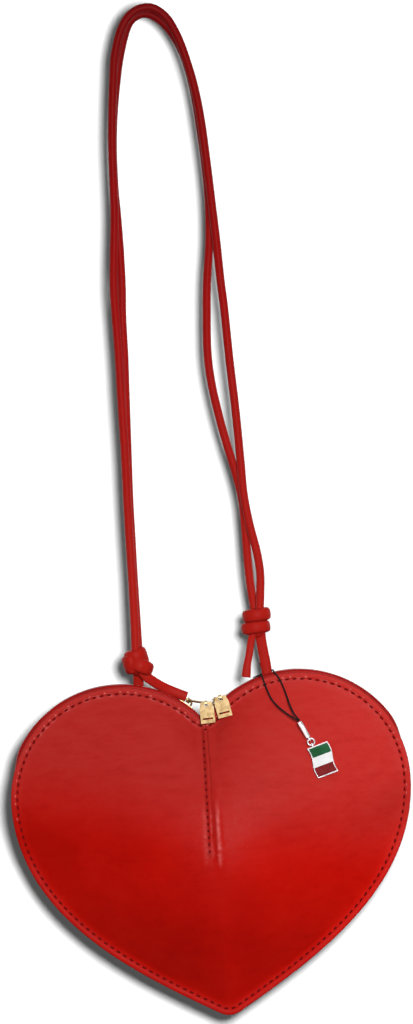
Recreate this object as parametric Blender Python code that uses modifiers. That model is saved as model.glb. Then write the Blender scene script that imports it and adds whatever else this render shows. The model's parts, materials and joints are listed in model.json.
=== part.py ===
"""Heart-shaped leather shoulder bag, hanging from the crown of its knotted strap.

Metres, +Z up, +X to the right and the front towards -Y. The origin is the inside of the strap's crown.
"""

import bmesh
import bpy
import math
from mathutils import Matrix, Vector

CLEAR = 0.0003
CUT_OVERRUN = 0.001

# Heart outline: two lobe arcs, a cubic side and a rounded tip
LOBE_R = 0.0555
LOBE_X = 0.0445
LOBE_TOP_Z = -0.3337
LOBE_Z = LOBE_TOP_Z - LOBE_R
NOTCH_R = 0.0045
TIP_DROP = 0.1125
TIP_R = 0.010
TIP_SLOPE = math.radians(30)
SIDE_TOP_HANDLE = 0.056
SIDE_TIP_HANDLE = 0.046
NOTCH_STATIONS = 2
LOBE_STATIONS = 10
SIDE_STATIONS = 9
TIP_STATIONS = 2

# Panels: a stitched flange, then a dome that peaks at the dart's end
DEPTH_HALF = 0.030
RIM_HALF = 0.009
LEATHER_T = 0.0016
FLANGE = 0.0045
DART_END_DROP = 0.031
DOME_POWER = 1.15
DOME_ROUND_R = 0.076
RING_SHARES = (0.93, 0.82, 0.68, 0.52, 0.34, 0.16)
LINING_T = 0.0006
GUSSET_FADE_TOP = 0.004
GUSSET_FADE_DEPTH = 0.036

# Gusset strips, tapes and rows of the zip, in distance across and above the panels' edge
STRIP_T = 0.0011
STRIP_CROWN = 0.0016
STRIP_INNER = 0.0038
STRIP_FLANGE = 0.0040
STRIP_SHARES = ((1.0, -1.0), (1.0, 0.33), (0.80, 0.80), (0.42, 1.0), (0.0, 0.88))
TAPE_T = 0.0006
TAPE_TOP = -0.0001
TEETH_OUTER = 0.0020
TEETH_INNER = 0.00075
TEETH_LOW = -0.0011
TEETH_HIGH = 0.0005
TRACK_END = math.radians(7)
ROW_END = math.radians(11)
TRACK_STEPS = 14
TRACK_SINK = 0.0030
TRACK_FADE = math.radians(26)
TOOTH_PITCH = 0.0036
TOOTH_SHARE = 0.55
STOP_LENGTH = 0.0022
TAB_T = 0.0016
TAB_HALF_MIN = 0.0012

# Zip sliders and their pulls
SLIDER_LENGTH = 0.0070
SLIDER_HALF = 0.0032
SLIDER_PLATE = 0.0009
SLIDER_POST_HALF = 0.0004
SLIDER_POST_LENGTH = 0.0020
BRIDGE_R = 0.0005
BRIDGE_RISE = 0.0024
BRIDGE_SPAN = 0.0044
LEFT_REST_X = -0.0095
RIGHT_REST_X = 0.0085
LINK_BARREL_LENGTH = 0.0022
LINK_WALL = 0.0005
LINK_ARM_R = 0.0006
LINK_REACH = 0.0112
LINK_EYE_WIDTH = 0.0014
LINK_ELBOW = 0.0024
PULL_BAR_R = 0.0005
PULL_T = 0.0011
PULL_LENGTH = 0.0105
PULL_HALF = 0.0036
PULL_NECK_HALF = 0.0026
PULL_SHOULDER = 0.0030
PULL_WINDOW_HALF = 0.00105
PULL_WINDOW_LOW = 0.0018
PULL_SLOT_HALF = 0.0026
PULL_SLOT_H = 0.0009
PULL_SLOT_RISE = 0.0018
PULL_PITCH = math.radians(14)
LEFT_PULL_TILT = math.radians(2)
LEFT_PULL_SIDE = 0.0086
LEFT_PULL_RISE = -0.0018
RIGHT_PULL_TILT = math.radians(10)
RIGHT_PULL_SIDE = 0.0025
RIGHT_PULL_RISE = 0.0013

# Strap cords, knots, legs and the loops that carry them
STRAP_PIECES = (
    "strap_strand_front", "strap_strand_back", "left_knot", "right_knot",
    "left_leg", "right_leg", "left_tail", "right_tail",
)
STRAND_R = 0.0021
STRAND_Y = 0.0023
STRAND_POINTS = 54
STRAND_LEAN_HEIGHT = 0.045
LEG_R = 0.0012
LEG_HALF_TOP = 0.0016
LEG_POINTS = 24
LEG_TURN_STEPS = 6
LEG_MID_SHARE = 0.6
ANCHOR_X = 0.032
ANCHOR_Y = 0.0056
ANCHOR_WALL = 0.0007
ANCHOR_WIDTH = 0.0014
ANCHOR_SLACK = 0.0007
ANCHOR_FOOT_HALF = 0.0014
ANCHOR_FOOT_T = 0.0008
TAIL_R = 0.0019
TAIL_POINTS = 12

# Knots: each is a core with its wraps, given by rise above its middle, radius and lean
KNOT_WRAP_R = 0.0037
KNOT_CORE = (0.0052, 0.0042, 0.0074)
KNOT_DEPTH_SHARE = 0.78
WRAP_SIDES = 18
WRAP_ARC = 6
LEFT_KNOT_MID = Vector((-0.0308, -0.0032, -0.3200))
LEFT_WRAPS = ((0.0028, 0.0031, math.radians(-12)), (-0.0040, 0.0038, math.radians(22)))
RIGHT_KNOT_MID = Vector((0.0302, 0.0006, -0.3079))
RIGHT_WRAPS = ((0.0041, 0.0034, math.radians(-5)), (-0.0020, 0.0036, math.radians(-3)))

# Charm on the right leg
LANYARD_R = 0.00045
LANYARD_POINTS = 44
CORD_HIGH_Z = -0.337
FERRULE_R = 0.00135
FERRULE_TOP = Vector((0.0469, 0.0, -0.3584))
FERRULE_END = Vector((0.0507, 0.0, -0.3665))
RING_R = 0.0017
RING_WIRE_R = 0.0004
RING_MID = Vector((0.0519, 0.0, -0.3688))
EYE_R = 0.00125
EYE_T = 0.0007
FLAG_MID = Vector((0.0569, 0.0, -0.3782))
FLAG_HALF_W = 0.0053
FLAG_HALF_H = 0.0079
FLAG_T = 0.0014
FLAG_TILT = math.radians(16)
FLAG_WAVE = 0.0006
FLAG_EDGE = 0.0004
FLAG_ROWS = 8
ENAMEL_T = 0.0004

# Cord routes, chosen by hand along the photographed strap, charm and tails
STRAND_FRONT_ROUTE = (
    (-0.0314, -0.3160), (-0.0308, -0.304), (-0.0300, -0.280), (-0.0296, -0.260), (-0.0290, -0.240),
    (-0.0281, -0.215), (-0.0276, -0.190), (-0.0270, -0.170), (-0.0268, -0.150), (-0.0265, -0.135),
    (-0.0250, -0.118), (-0.0231, -0.100), (-0.0222, -0.085), (-0.0212, -0.065), (-0.0197, -0.048),
    (-0.0178, -0.032), (-0.0157, -0.018), (-0.0109, -0.0048), (-0.0045, 0.0022), (0.0032, 0.0037),
    (0.0092, 0.0012), (0.0134, -0.0043), (0.0169, -0.0142), (0.0200, -0.026), (0.0225, -0.039), (0.0242, -0.055),
    (0.0252, -0.075), (0.0259, -0.095), (0.0266, -0.115), (0.0270, -0.135), (0.0276, -0.150),
    (0.0280, -0.175), (0.0288, -0.200), (0.0291, -0.225), (0.0292, -0.243), (0.0308, -0.258),
    (0.0332, -0.272), (0.0340, -0.283), (0.0331, -0.2935), (0.0318, -0.3040),
)
STRAND_BACK_ROUTE = (
    (-0.0300, -0.3160), (-0.0297, -0.304), (-0.0292, -0.280), (-0.0286, -0.260), (-0.0280, -0.240),
    (-0.0267, -0.215), (-0.0254, -0.190), (-0.0243, -0.170), (-0.0236, -0.150), (-0.0225, -0.135),
    (-0.0219, -0.118), (-0.0217, -0.100), (-0.0218, -0.085), (-0.0209, -0.065), (-0.0190, -0.048),
    (-0.0162, -0.032), (-0.0130, -0.018), (-0.0081, -0.0044), (-0.0026, 0.0003), (0.0030, -0.0002),
    (0.0096, -0.0056), (0.0156, -0.0142), (0.0194, -0.025), (0.0219, -0.039), (0.0233, -0.055),
    (0.0244, -0.075), (0.0246, -0.095), (0.0232, -0.115), (0.0203, -0.135), (0.0188, -0.150),
    (0.0174, -0.170), (0.0180, -0.186), (0.0205, -0.204), (0.0234, -0.219), (0.0262, -0.232),
    (0.0283, -0.246), (0.0285, -0.260), (0.0284, -0.275), (0.0286, -0.287), (0.0298, -0.3040),
)
LEFT_TAIL_ROUTE = (
    (-0.0266, -0.0030, -0.3250), (-0.0242, -0.0008, -0.3272), (-0.0220, 0.0034, -0.3295),
    (-0.0196, 0.0062, -0.3326), (-0.0156, 0.0066, -0.3362), (-0.0116, 0.0066, -0.3390),
    (-0.0078, 0.0064, -0.3418),
)
RIGHT_TAIL_ROUTE = (
    (0.0282, -0.0010, -0.3110), (0.0264, -0.0026, -0.3170), (0.0250, -0.0032, -0.3230),
    (0.0236, -0.0034, -0.3280), (0.0224, -0.0034, -0.3338),
)
LANYARD_LEFT_ROUTE = (
    (0.04626, -0.35820), (0.0456, -0.35715), (0.0432, -0.3555), (0.0377, -0.3507), (0.0340, -0.3457),
    (0.0318, -0.3396), (0.0309, -0.3362),
)
LANYARD_LOOP_ROUTE = (
    (0.0302, -0.0086, -0.3334), (0.0284, -0.0050, -0.3333), (0.0268, 0.0004, -0.3342),
    (0.0265, 0.0050, -0.3338), (0.0277, 0.0088, -0.3322), (0.0306, 0.0098, -0.3304),
    (0.0336, 0.0088, -0.3300), (0.0352, 0.0052, -0.3303), (0.0359, 0.0000, -0.3308),
    (0.0363, -0.0050, -0.3314), (0.0368, -0.0086, -0.3325),
)
LANYARD_RIGHT_ROUTE = (
    (0.0376, -0.3341), (0.0390, -0.3366), (0.0405, -0.3406), (0.0417, -0.3448), (0.0429, -0.3494),
    (0.0445, -0.3538), (0.0464, -0.3567), (0.04716, -0.35778),
)

COLOURS = {
    "leather": ((0.42, 0.012, 0.010), 0.38, 0.0),
    "strap": ((0.40, 0.010, 0.008), 0.34, 0.0),
    "lining": ((0.10, 0.012, 0.012), 0.85, 0.0),
    "tape": ((0.20, 0.006, 0.008), 0.80, 0.0),
    "gold": ((0.66, 0.50, 0.28), 0.25, 1.0),
    "silver": ((0.72, 0.72, 0.74), 0.20, 1.0),
    "cord": ((0.010, 0.008, 0.008), 0.60, 0.0),
    "green": ((0.003, 0.12, 0.035), 0.30, 0.0),
    "white": ((0.86, 0.86, 0.86), 0.30, 0.0),
    "maroon": ((0.24, 0.004, 0.006), 0.30, 0.0),
}


def material(name):
    found = bpy.data.materials.get(name)
    if found:
        return found
    colour, roughness, metallic = COLOURS[name]
    made = bpy.data.materials.new(name)
    made.use_nodes = True
    shader = made.node_tree.nodes["Principled BSDF"]
    shader.inputs["Base Color"].default_value = (*colour, 1.0)
    shader.inputs["Roughness"].default_value = roughness
    shader.inputs["Metallic"].default_value = metallic
    made.diffuse_color = (*colour, 1.0)
    return made


def clear_scene():
    for obj in list(bpy.data.objects):
        bpy.data.objects.remove(obj, do_unlink=True)


def place(obj, look, hold=None):
    """Puts the object in the bag's collection with its material, and returns it."""
    for old in list(obj.users_collection):
        old.objects.unlink(obj)
    PARTS.objects.link(obj)
    obj.data.materials.clear()
    obj.data.materials.append(material(look))
    obj.parent = hold
    return obj


def as_cutter(obj):
    for old in list(obj.users_collection):
        old.objects.unlink(obj)
    CUTTERS.objects.link(obj)
    obj.hide_render = True
    obj.display_type = "WIRE"
    return obj


def mesh_object(name, points, faces, look):
    mesh = bpy.data.meshes.new(name)
    mesh.from_pydata([tuple(p) for p in points], [], faces)
    obj = bpy.data.objects.new(name, mesh)
    return place(obj, look)


def facing_out(obj):
    bm = bmesh.new()
    bm.from_mesh(obj.data)
    bmesh.ops.recalc_face_normals(bm, faces=bm.faces)
    bm.to_mesh(obj.data)
    bm.free()
    return obj


def smooth(obj, angle=math.radians(35)):
    obj.data.shade_smooth()
    obj.data.set_sharp_from_angle(angle=angle)
    return obj


def solidify(obj, thickness, offset=-1.0):
    modifier = obj.modifiers.new("thickness", "SOLIDIFY")
    modifier.thickness = thickness
    modifier.offset = offset
    return obj


def boolean(obj, other, operation):
    modifier = obj.modifiers.new(operation.lower(), "BOOLEAN")
    modifier.operation = operation
    modifier.object = other
    return obj


def box(name, low, high):
    """A box between two corners, as a mesh object in no collection yet."""
    bm = bmesh.new()
    bmesh.ops.create_cube(bm, size=1.0)
    middle = (Vector(low) + Vector(high)) / 2
    sides = Vector(high) - Vector(low)
    bmesh.ops.transform(bm, matrix=Matrix.LocRotScale(middle, None, sides), verts=bm.verts)
    mesh = bpy.data.meshes.new(name)
    bm.to_mesh(mesh)
    bm.free()
    obj = bpy.data.objects.new(name, mesh)
    bpy.context.scene.collection.objects.link(obj)
    return obj


def cylinder(name, radius, start, end, segments=16):
    """A closed cylinder from one point to another."""
    start, end = Vector(start), Vector(end)
    along = end - start
    turn = along.to_track_quat("Z", "Y")
    bm = bmesh.new()
    bmesh.ops.create_cone(
        bm, cap_ends=True, segments=segments, radius1=radius, radius2=radius, depth=along.length
    )
    bmesh.ops.transform(bm, matrix=Matrix.LocRotScale((start + end) / 2, turn, None), verts=bm.verts)
    mesh = bpy.data.meshes.new(name)
    bm.to_mesh(mesh)
    bm.free()
    obj = bpy.data.objects.new(name, mesh)
    bpy.context.scene.collection.objects.link(obj)
    return obj


def smooth_route(points, count):
    """Evenly spaced points along a smooth curve through the route's own points."""
    points = [Vector(p) for p in points]
    ends = [2 * points[0] - points[1], *points, 2 * points[-1] - points[-2]]
    fine = []
    for a, b, c, d in zip(ends, ends[1:], ends[2:], ends[3:]):
        for step in range(12):
            t = step / 12
            fine.append(
                0.5 * (2 * b + t * (c - a) + t * t * (2 * a - 5 * b + 4 * c - d)
                       + t * t * t * (3 * b - a - 3 * c + d))
            )
    fine.append(points[-1])
    lengths = [0.0]
    for a, b in zip(fine, fine[1:]):
        lengths.append(lengths[-1] + (b - a).length)
    found = []
    place_at = 0
    for k in range(count):
        want = lengths[-1] * k / (count - 1)
        while place_at < len(fine) - 2 and lengths[place_at + 1] < want:
            place_at += 1
        span = lengths[place_at + 1] - lengths[place_at]
        share = (want - lengths[place_at]) / span if span else 0.0
        found.append(fine[place_at].lerp(fine[place_at + 1], share))
    return found


def tube(name, points, radius, look, resolution=2, cyclic=False):
    """A cord: a curve through the points, with round bevel and filled caps."""
    curve = bpy.data.curves.new(name, "CURVE")
    curve.dimensions = "3D"
    curve.bevel_depth = radius
    curve.bevel_resolution = resolution
    curve.use_fill_caps = not cyclic
    spline = curve.splines.new("POLY")
    spline.points.add(len(points) - 1)
    for point, where in zip(spline.points, points):
        point.co = (*where, 1.0)
    spline.use_cyclic_u = cyclic
    spline.use_smooth = True
    return place(bpy.data.objects.new(name, curve), look)


def mesh_of_curve(obj):
    """The curve as a welded mesh object of the same name, so that a Boolean can use it."""
    graph = bpy.context.evaluated_depsgraph_get()
    mesh = bpy.data.meshes.new_from_object(obj.evaluated_get(graph))
    bm = bmesh.new()
    bm.from_mesh(mesh)
    bmesh.ops.remove_doubles(bm, verts=bm.verts, dist=CLEAR / 100)
    bm.to_mesh(mesh)
    bm.free()
    name, where, data = obj.name, obj.matrix_world.copy(), obj.data
    bpy.data.objects.remove(obj, do_unlink=True)
    bpy.data.curves.remove(data)
    made = bpy.data.objects.new(name, mesh)
    made.matrix_world = where
    bpy.context.scene.collection.objects.link(made)
    return made


def smoothstep(value):
    value = min(1.0, max(0.0, value))
    return value * value * (3 - 2 * value)


def lobe_point(angle, rise=0.0):
    """A point of the right lobe's arc, its angle counted from +X, and the way out of the heart there."""
    out = Vector((math.cos(angle), 0, math.sin(angle)))
    return Vector((LOBE_X, 0, LOBE_Z)) + out * (LOBE_R + rise), out


def track_point(angle):
    """A point of the zip's line, which sinks below the panels' edge towards its end."""
    share = 1 - smoothstep((angle - TRACK_END) / TRACK_FADE)
    return lobe_point(angle, -TRACK_SINK * share)


def notch_angle():
    """The lobe's angle where the notch's round begins."""
    return math.pi - math.acos(LOBE_X / (LOBE_R + NOTCH_R))


def notch_stations(count):
    """Places and outward ways along the notch's round, from its lowest point to the right lobe."""
    height = math.sqrt((LOBE_R + NOTCH_R) ** 2 - LOBE_X**2)
    middle = Vector((0, 0, LOBE_Z + height))
    turn = math.pi / 2 - (math.pi - notch_angle())
    found = []
    for k in range(count):
        angle = turn * k / count
        out = Vector((-math.sin(angle), 0, math.cos(angle)))
        found.append((middle - out * NOTCH_R, out))
    return found


def side_stations(count):
    """Places and outward ways down the right side, from the lobe's widest point to the tip's round."""
    tip = LOBE_Z - TIP_DROP
    first = Vector((LOBE_X + LOBE_R, 0, LOBE_Z))
    last = Vector((TIP_R * math.sin(TIP_SLOPE), 0, tip + TIP_R * (1 - math.cos(TIP_SLOPE))))
    second = first - Vector((0, 0, SIDE_TOP_HANDLE))
    third = last + Vector((math.cos(TIP_SLOPE), 0, math.sin(TIP_SLOPE))) * SIDE_TIP_HANDLE
    found = []
    for k in range(1, count + 1):
        t = k / count
        u = 1 - t
        where = u**3 * first + 3 * u * u * t * second + 3 * u * t * t * third + t**3 * last
        along = u * u * (second - first) + 2 * u * t * (third - second) + t * t * (last - third)
        along.normalize()
        found.append((where, Vector((-along.z, 0, along.x))))
    return found


def tip_stations(count):
    centre = Vector((0, 0, LOBE_Z - TIP_DROP + TIP_R))
    found = []
    for k in range(1, count + 1):
        angle = TIP_SLOPE * (1 - k / count)
        out = Vector((math.sin(angle), 0, -math.cos(angle)))
        found.append((centre + out * TIP_R, out))
    return found


def half_outline():
    """The right half of the heart's edge, from the notch round to the tip."""
    found = notch_stations(NOTCH_STATIONS)
    for k in range(LOBE_STATIONS + 1):
        found.append(lobe_point(notch_angle() * (1 - k / LOBE_STATIONS)))
    return found + side_stations(SIDE_STATIONS) + tip_stations(TIP_STATIONS)


def flipped(vector):
    return Vector((-vector.x, vector.y, vector.z))


def whole_outline():
    right = half_outline()
    left = [(flipped(p), flipped(out)) for p, out in right[1:-1]]
    return right + left[::-1]


def rim_half(z):
    """Half the bag's thickness at its edge: the gusset's on top, and closed at the seam below."""
    seam = LEATHER_T + CLEAR / 2
    share = smoothstep((z - LOBE_Z - GUSSET_FADE_TOP + GUSSET_FADE_DEPTH) / GUSSET_FADE_DEPTH)
    return seam + (RIM_HALF - seam) * share


def dome_rings(side):
    """The panel's outer surface as rings of points, edge first. side is -1 at the front and 1 at the back."""
    peak = Vector((0, 0, LOBE_Z - DART_END_DROP))
    edge = whole_outline()
    rings = [[Vector((p.x, side * rim_half(p.z), p.z)) for p, _ in edge]]
    inner = []
    for where, out in edge:
        point = where - out * FLANGE
        inner.append(Vector((point.x, side * rim_half(where.z), point.z)))
    inner[0] = Vector((0, inner[0].y, edge[0][0].z - FLANGE / math.sin(math.pi - notch_angle())))
    rings.append(inner)
    for share in RING_SHARES:
        height = (1 - share * share) ** DOME_POWER
        ring = []
        for start in inner:
            ray = Vector((start.x, 0, start.z)) - peak
            reach = share * (DOME_ROUND_R + (ray.length - DOME_ROUND_R) * share)
            flat = peak + ray.normalized() * reach
            depth = abs(start.y) + (DEPTH_HALF - abs(start.y)) * height
            ring.append(Vector((flat.x, side * depth, flat.z)))
        rings.append(ring)
    return rings, Vector((0, side * DEPTH_HALF, peak.z))


def panel_mesh(side, first_ring=0, sink=0.0):
    """Points and faces of a panel's surface, sunk along its own normals."""
    rings, peak = dome_rings(side)
    around = len(rings[0])
    points = [p for ring in rings for p in ring] + [peak]
    faces = []
    for k in range(len(rings) - 1):
        for i in range(around):
            j = (i + 1) % around
            faces.append([k * around + i, k * around + j, (k + 1) * around + j, (k + 1) * around + i])
    last = (len(rings) - 1) * around
    for i in range(around):
        faces.append([last + i, last + (i + 1) % around, len(points) - 1])
    if side < 0:
        faces = [face[::-1] for face in faces]
    bm = bmesh.new()
    made = [bm.verts.new(p) for p in points]
    for face in faces:
        bm.faces.new([made[i] for i in face])
    bm.normal_update()
    sunk = [v.co - v.normal * sink for v in made]
    bm.free()
    start = first_ring * around
    kept = [[i - start for i in face] for face in faces if min(face) >= start]
    return sunk[start:], kept


def panel(name, side):
    points, faces = panel_mesh(side)
    return smooth(solidify(mesh_object(name, points, faces, "leather"), LEATHER_T))


def lining(name, side):
    points, faces = panel_mesh(side, first_ring=2, sink=LEATHER_T + CLEAR)
    return smooth(solidify(mesh_object(name, points, faces, "lining"), LINING_T))


def track_stations(end, steps):
    """Stations of the zip's line, from the left lobe's end over the notch to the right lobe's end."""
    right = notch_stations(NOTCH_STATIONS)
    for k in range(steps + 1):
        right.append(track_point(notch_angle() + (end - notch_angle()) * k / steps))
    left = [(flipped(p), flipped(out)) for p, out in right[1:]]
    return left[::-1] + right


def swept(name, stations, section, look, side=1, closed=True):
    """A section of (across, above) points carried along the zip's line."""
    points = [where + out * above + Vector((0, side * across, 0))
              for where, out in stations for across, above in section]
    count, faces = len(section), []
    for k in range(len(stations) - 1):
        for i in range(count if closed else count - 1):
            j = (i + 1) % count
            faces.append([k * count + i, k * count + j, (k + 1) * count + j, (k + 1) * count + i])
    if closed:
        faces.append(list(range(count)))
        faces.append([(len(stations) - 1) * count + i for i in range(count)])
    return facing_out(mesh_object(name, points, faces, look))


def gusset_strip(name, side):
    outer = RIM_HALF - LEATHER_T - CLEAR
    section = []
    for across, above in STRIP_SHARES:
        height = above * (STRIP_CROWN if above > 0 else STRIP_FLANGE)
        section.append((STRIP_INNER + (outer - STRIP_INNER) * across, height))
    under = []
    for k, (across, above) in enumerate(section):
        before = Vector(section[max(k - 1, 0)])
        after = Vector(section[min(k + 1, len(section) - 1)])
        along = (after - before).normalized()
        under.append((across + along[1] * -STRIP_T, above + along[0] * STRIP_T))
    whole = section + under[::-1]
    return smooth(swept(name, track_stations(TRACK_END, TRACK_STEPS), whole, "leather", side))


def zip_tape(name, side):
    outer = RIM_HALF - LEATHER_T - STRIP_T - 2 * CLEAR
    inner = TEETH_OUTER + CLEAR
    low = TAPE_TOP - TAPE_T
    section = [(inner, low), (outer, low), (outer, TAPE_TOP), (inner, TAPE_TOP)]
    return swept(name, track_stations(TRACK_END, TRACK_STEPS), section, "tape", side)


def zip_row(name, side):
    """One row of teeth on its bead, as one comb along the zip's line."""
    length = (notch_angle() - ROW_END) * LOBE_R
    teeth = int(length / TOOTH_PITCH)
    root = TEETH_INNER + (TEETH_OUTER - TEETH_INNER) * TOOTH_SHARE
    stations = track_stations(ROW_END, 2 * teeth)
    points, faces = [], []
    for k, (where, out) in enumerate(stations):
        inner = TEETH_INNER if k % 2 else root
        for across, above in (
            (inner, TEETH_LOW), (TEETH_OUTER, TEETH_LOW), (TEETH_OUTER, TEETH_HIGH), (inner, TEETH_HIGH)
        ):
            points.append(where + out * above + Vector((0, side * across, 0)))
    for k in range(len(stations) - 1):
        for i in range(4):
            j = (i + 1) % 4
            faces.append([4 * k + i, 4 * k + j, 4 * k + 4 + j, 4 * k + 4 + i])
    faces.append([0, 1, 2, 3])
    faces.append([4 * len(stations) - 4 + i for i in range(4)])
    return facing_out(mesh_object(name, points, faces, "gold"))


def zip_stop(name, side):
    """A small metal block that ends both rows on one lobe. side is -1 on the left and 1 on the right."""
    middle = ROW_END - (CLEAR + STOP_LENGTH / 2) / LOBE_R
    where, out = track_point(middle)
    along = Vector((-out.z, 0, out.x))
    obj = box(name, (-STOP_LENGTH / 2, -TEETH_OUTER, TEETH_LOW), (STOP_LENGTH / 2, TEETH_OUTER, TEETH_HIGH))
    turn = Matrix((along, Vector((0, 1, 0)), out)).transposed()
    obj.data.transform(Matrix.Translation(where) @ turn.to_4x4())
    if side < 0:
        obj.data.transform(Matrix.Scale(-1, 4, (1, 0, 0)))
    return facing_out(place(obj, "gold"))


def end_tab(name, side):
    """Leather that closes the gusset below the zip, narrowing to the seam."""
    stations = [lobe_point(TRACK_END - CLEAR / LOBE_R)]
    stations += [lobe_point(0.0)]
    stations += side_stations(SIDE_STATIONS)
    places = []
    for where, out in stations:
        half = rim_half(where.z) - LEATHER_T - CLEAR
        if half < TAB_HALF_MIN:
            last, way, wide = places[-1]
            share = (wide - TAB_HALF_MIN) / (wide - half)
            places.append((last.lerp(where, share), way.lerp(out, share), TAB_HALF_MIN))
            break
        places.append((where, out, half))
    points, faces = [], []
    for where, out, half in places:
        for across, above in ((-half, 0), (half, 0), (half, -TAB_T), (-half, -TAB_T)):
            point = where + out * (above - CLEAR) + Vector((0, across, 0))
            points.append(flipped(point) if side < 0 else point)
    count = len(places)
    for k in range(count - 1):
        for i in range(4):
            j = (i + 1) % 4
            faces.append([4 * k + i, 4 * k + j, 4 * k + 4 + j, 4 * k + 4 + i])
    faces.append([0, 1, 2, 3])
    faces.append([4 * count - 4 + i for i in range(4)])
    return facing_out(mesh_object(name, points, faces, "leather"))


def slider_turn(rest_x):
    """The angle from straight up at which a slider stands on its lobe, and that lobe's centre."""
    side = 1 if rest_x > 0 else -1
    angle = -side * math.asin((LOBE_X - abs(rest_x)) / LOBE_R)
    return angle, Vector((side * LOBE_X, 0, LOBE_Z))


def bar_height():
    """How far the bridge's bar lies above the panels' edge."""
    return TEETH_HIGH + CLEAR + SLIDER_PLATE + BRIDGE_RISE - BRIDGE_R


def slider(name, rest_x):
    """Two plates round the teeth, the post between the rows and the bridge, on an origin at the lobe's centre."""
    angle, centre = slider_turn(rest_x)
    half = SLIDER_LENGTH / 2
    top_low = LOBE_R + TEETH_HIGH + CLEAR
    top_high = top_low + SLIDER_PLATE
    low_high = LOBE_R + TEETH_LOW - CLEAR
    low_low = low_high - SLIDER_PLATE
    inward = 1 if rest_x < 0 else -1
    body = box(name, (-half, -SLIDER_HALF, top_low), (half, SLIDER_HALF, top_high))
    lower = box(name + "_lower_plate", (-half, -SLIDER_HALF, low_low), (half, SLIDER_HALF, low_high))
    near, far = sorted((inward * half, inward * (half - SLIDER_POST_LENGTH)))
    post = box(
        name + "_post", (near, -SLIDER_POST_HALF, low_high - SLIDER_PLATE / 2),
        (far, SLIDER_POST_HALF, top_low + SLIDER_PLATE / 2),
    )
    bar = LOBE_R + bar_height()
    foot = top_high - BRIDGE_R
    reach = BRIDGE_SPAN / 2
    arch = [(-reach, 0, foot), (-reach, 0, bar - BRIDGE_R), (-reach + BRIDGE_R, 0, bar),
            (reach - BRIDGE_R, 0, bar), (reach, 0, bar - BRIDGE_R), (reach, 0, foot)]
    bridge = mesh_of_curve(tube(name + "_bridge", arch, BRIDGE_R, "gold"))
    for piece in (lower, post, bridge):
        boolean(body, as_cutter(piece), "UNION")
    place(body, "gold")
    for piece in (body, lower, post, bridge):
        piece.location = centre
        piece.rotation_euler = (0, angle, 0)
    return body


def pull_frame(name, rest_x):
    """An empty on the bridge's bar, turned with its slider."""
    angle, centre = slider_turn(rest_x)
    holder = bpy.data.objects.new(name, None)
    PARTS.objects.link(holder)
    turn = Matrix.Rotation(angle, 4, "Y")
    holder.matrix_world = Matrix.Translation(centre) @ turn @ Matrix.Translation(
        (0, 0, LOBE_R + bar_height())
    )
    return holder


def plate_matrix(rest_x, tilt, side, rise):
    """From the pull plate's own axes, its bar on X and down its length on -Z, to the bridge bar's frame."""
    angle, _ = slider_turn(rest_x)
    upright = Matrix.Translation((0, -LINK_REACH, 0)) @ Matrix.Rotation(-angle, 4, "Y")
    upright = upright @ Matrix.Translation((side, 0, rise))
    return upright @ Matrix.Rotation(-PULL_PITCH, 4, "X") @ Matrix.Rotation(-tilt, 4, "Y")


def pull_link(name, rest_x, tilt, side, rise):
    """A sleeve on the bridge's bar, a bent arm over the gusset's crown, and an eye for the plate's bar."""
    frame = pull_frame(name + "_frame", rest_x).matrix_world
    half = LINK_BARREL_LENGTH / 2
    inner = BRIDGE_R + CLEAR
    eye_inner = PULL_BAR_R + CLEAR
    body = cylinder(name, inner + LINK_WALL, (-half, 0, 0), (half, 0, 0))
    plate = plate_matrix(rest_x, tilt, side, rise)
    start = Vector((0, -inner - LINK_WALL / 2, 0))
    elbow = plate.translation + Vector((0, LINK_ELBOW, 0))
    end = plate.translation + Vector((0, eye_inner + LINK_WALL / 2, 0))
    arm = mesh_of_curve(tube(name + "_arm", [start, elbow, end], LINK_ARM_R, "gold"))
    eye_half = LINK_EYE_WIDTH / 2
    ring = cylinder(name + "_eye", eye_inner + LINK_WALL, (-eye_half, 0, 0), (eye_half, 0, 0))
    overrun = Vector((CUT_OVERRUN, 0, 0))
    eye_end, barrel_end = Vector((eye_half, 0, 0)) + overrun, Vector((half, 0, 0)) + overrun
    eye_bore = cylinder(name + "_eye_bore", eye_inner, -eye_end, eye_end)
    bore = cylinder(name + "_bore", inner, -barrel_end, barrel_end)
    for piece in (arm, ring):
        boolean(body, as_cutter(piece), "UNION")
    for piece in (bore, eye_bore):
        boolean(body, as_cutter(piece), "DIFFERENCE")
    place(body, "gold")
    for piece in (body, arm, bore):
        piece.matrix_world = frame
    for piece in (ring, eye_bore):
        piece.matrix_world = frame @ plate
    return body


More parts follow.
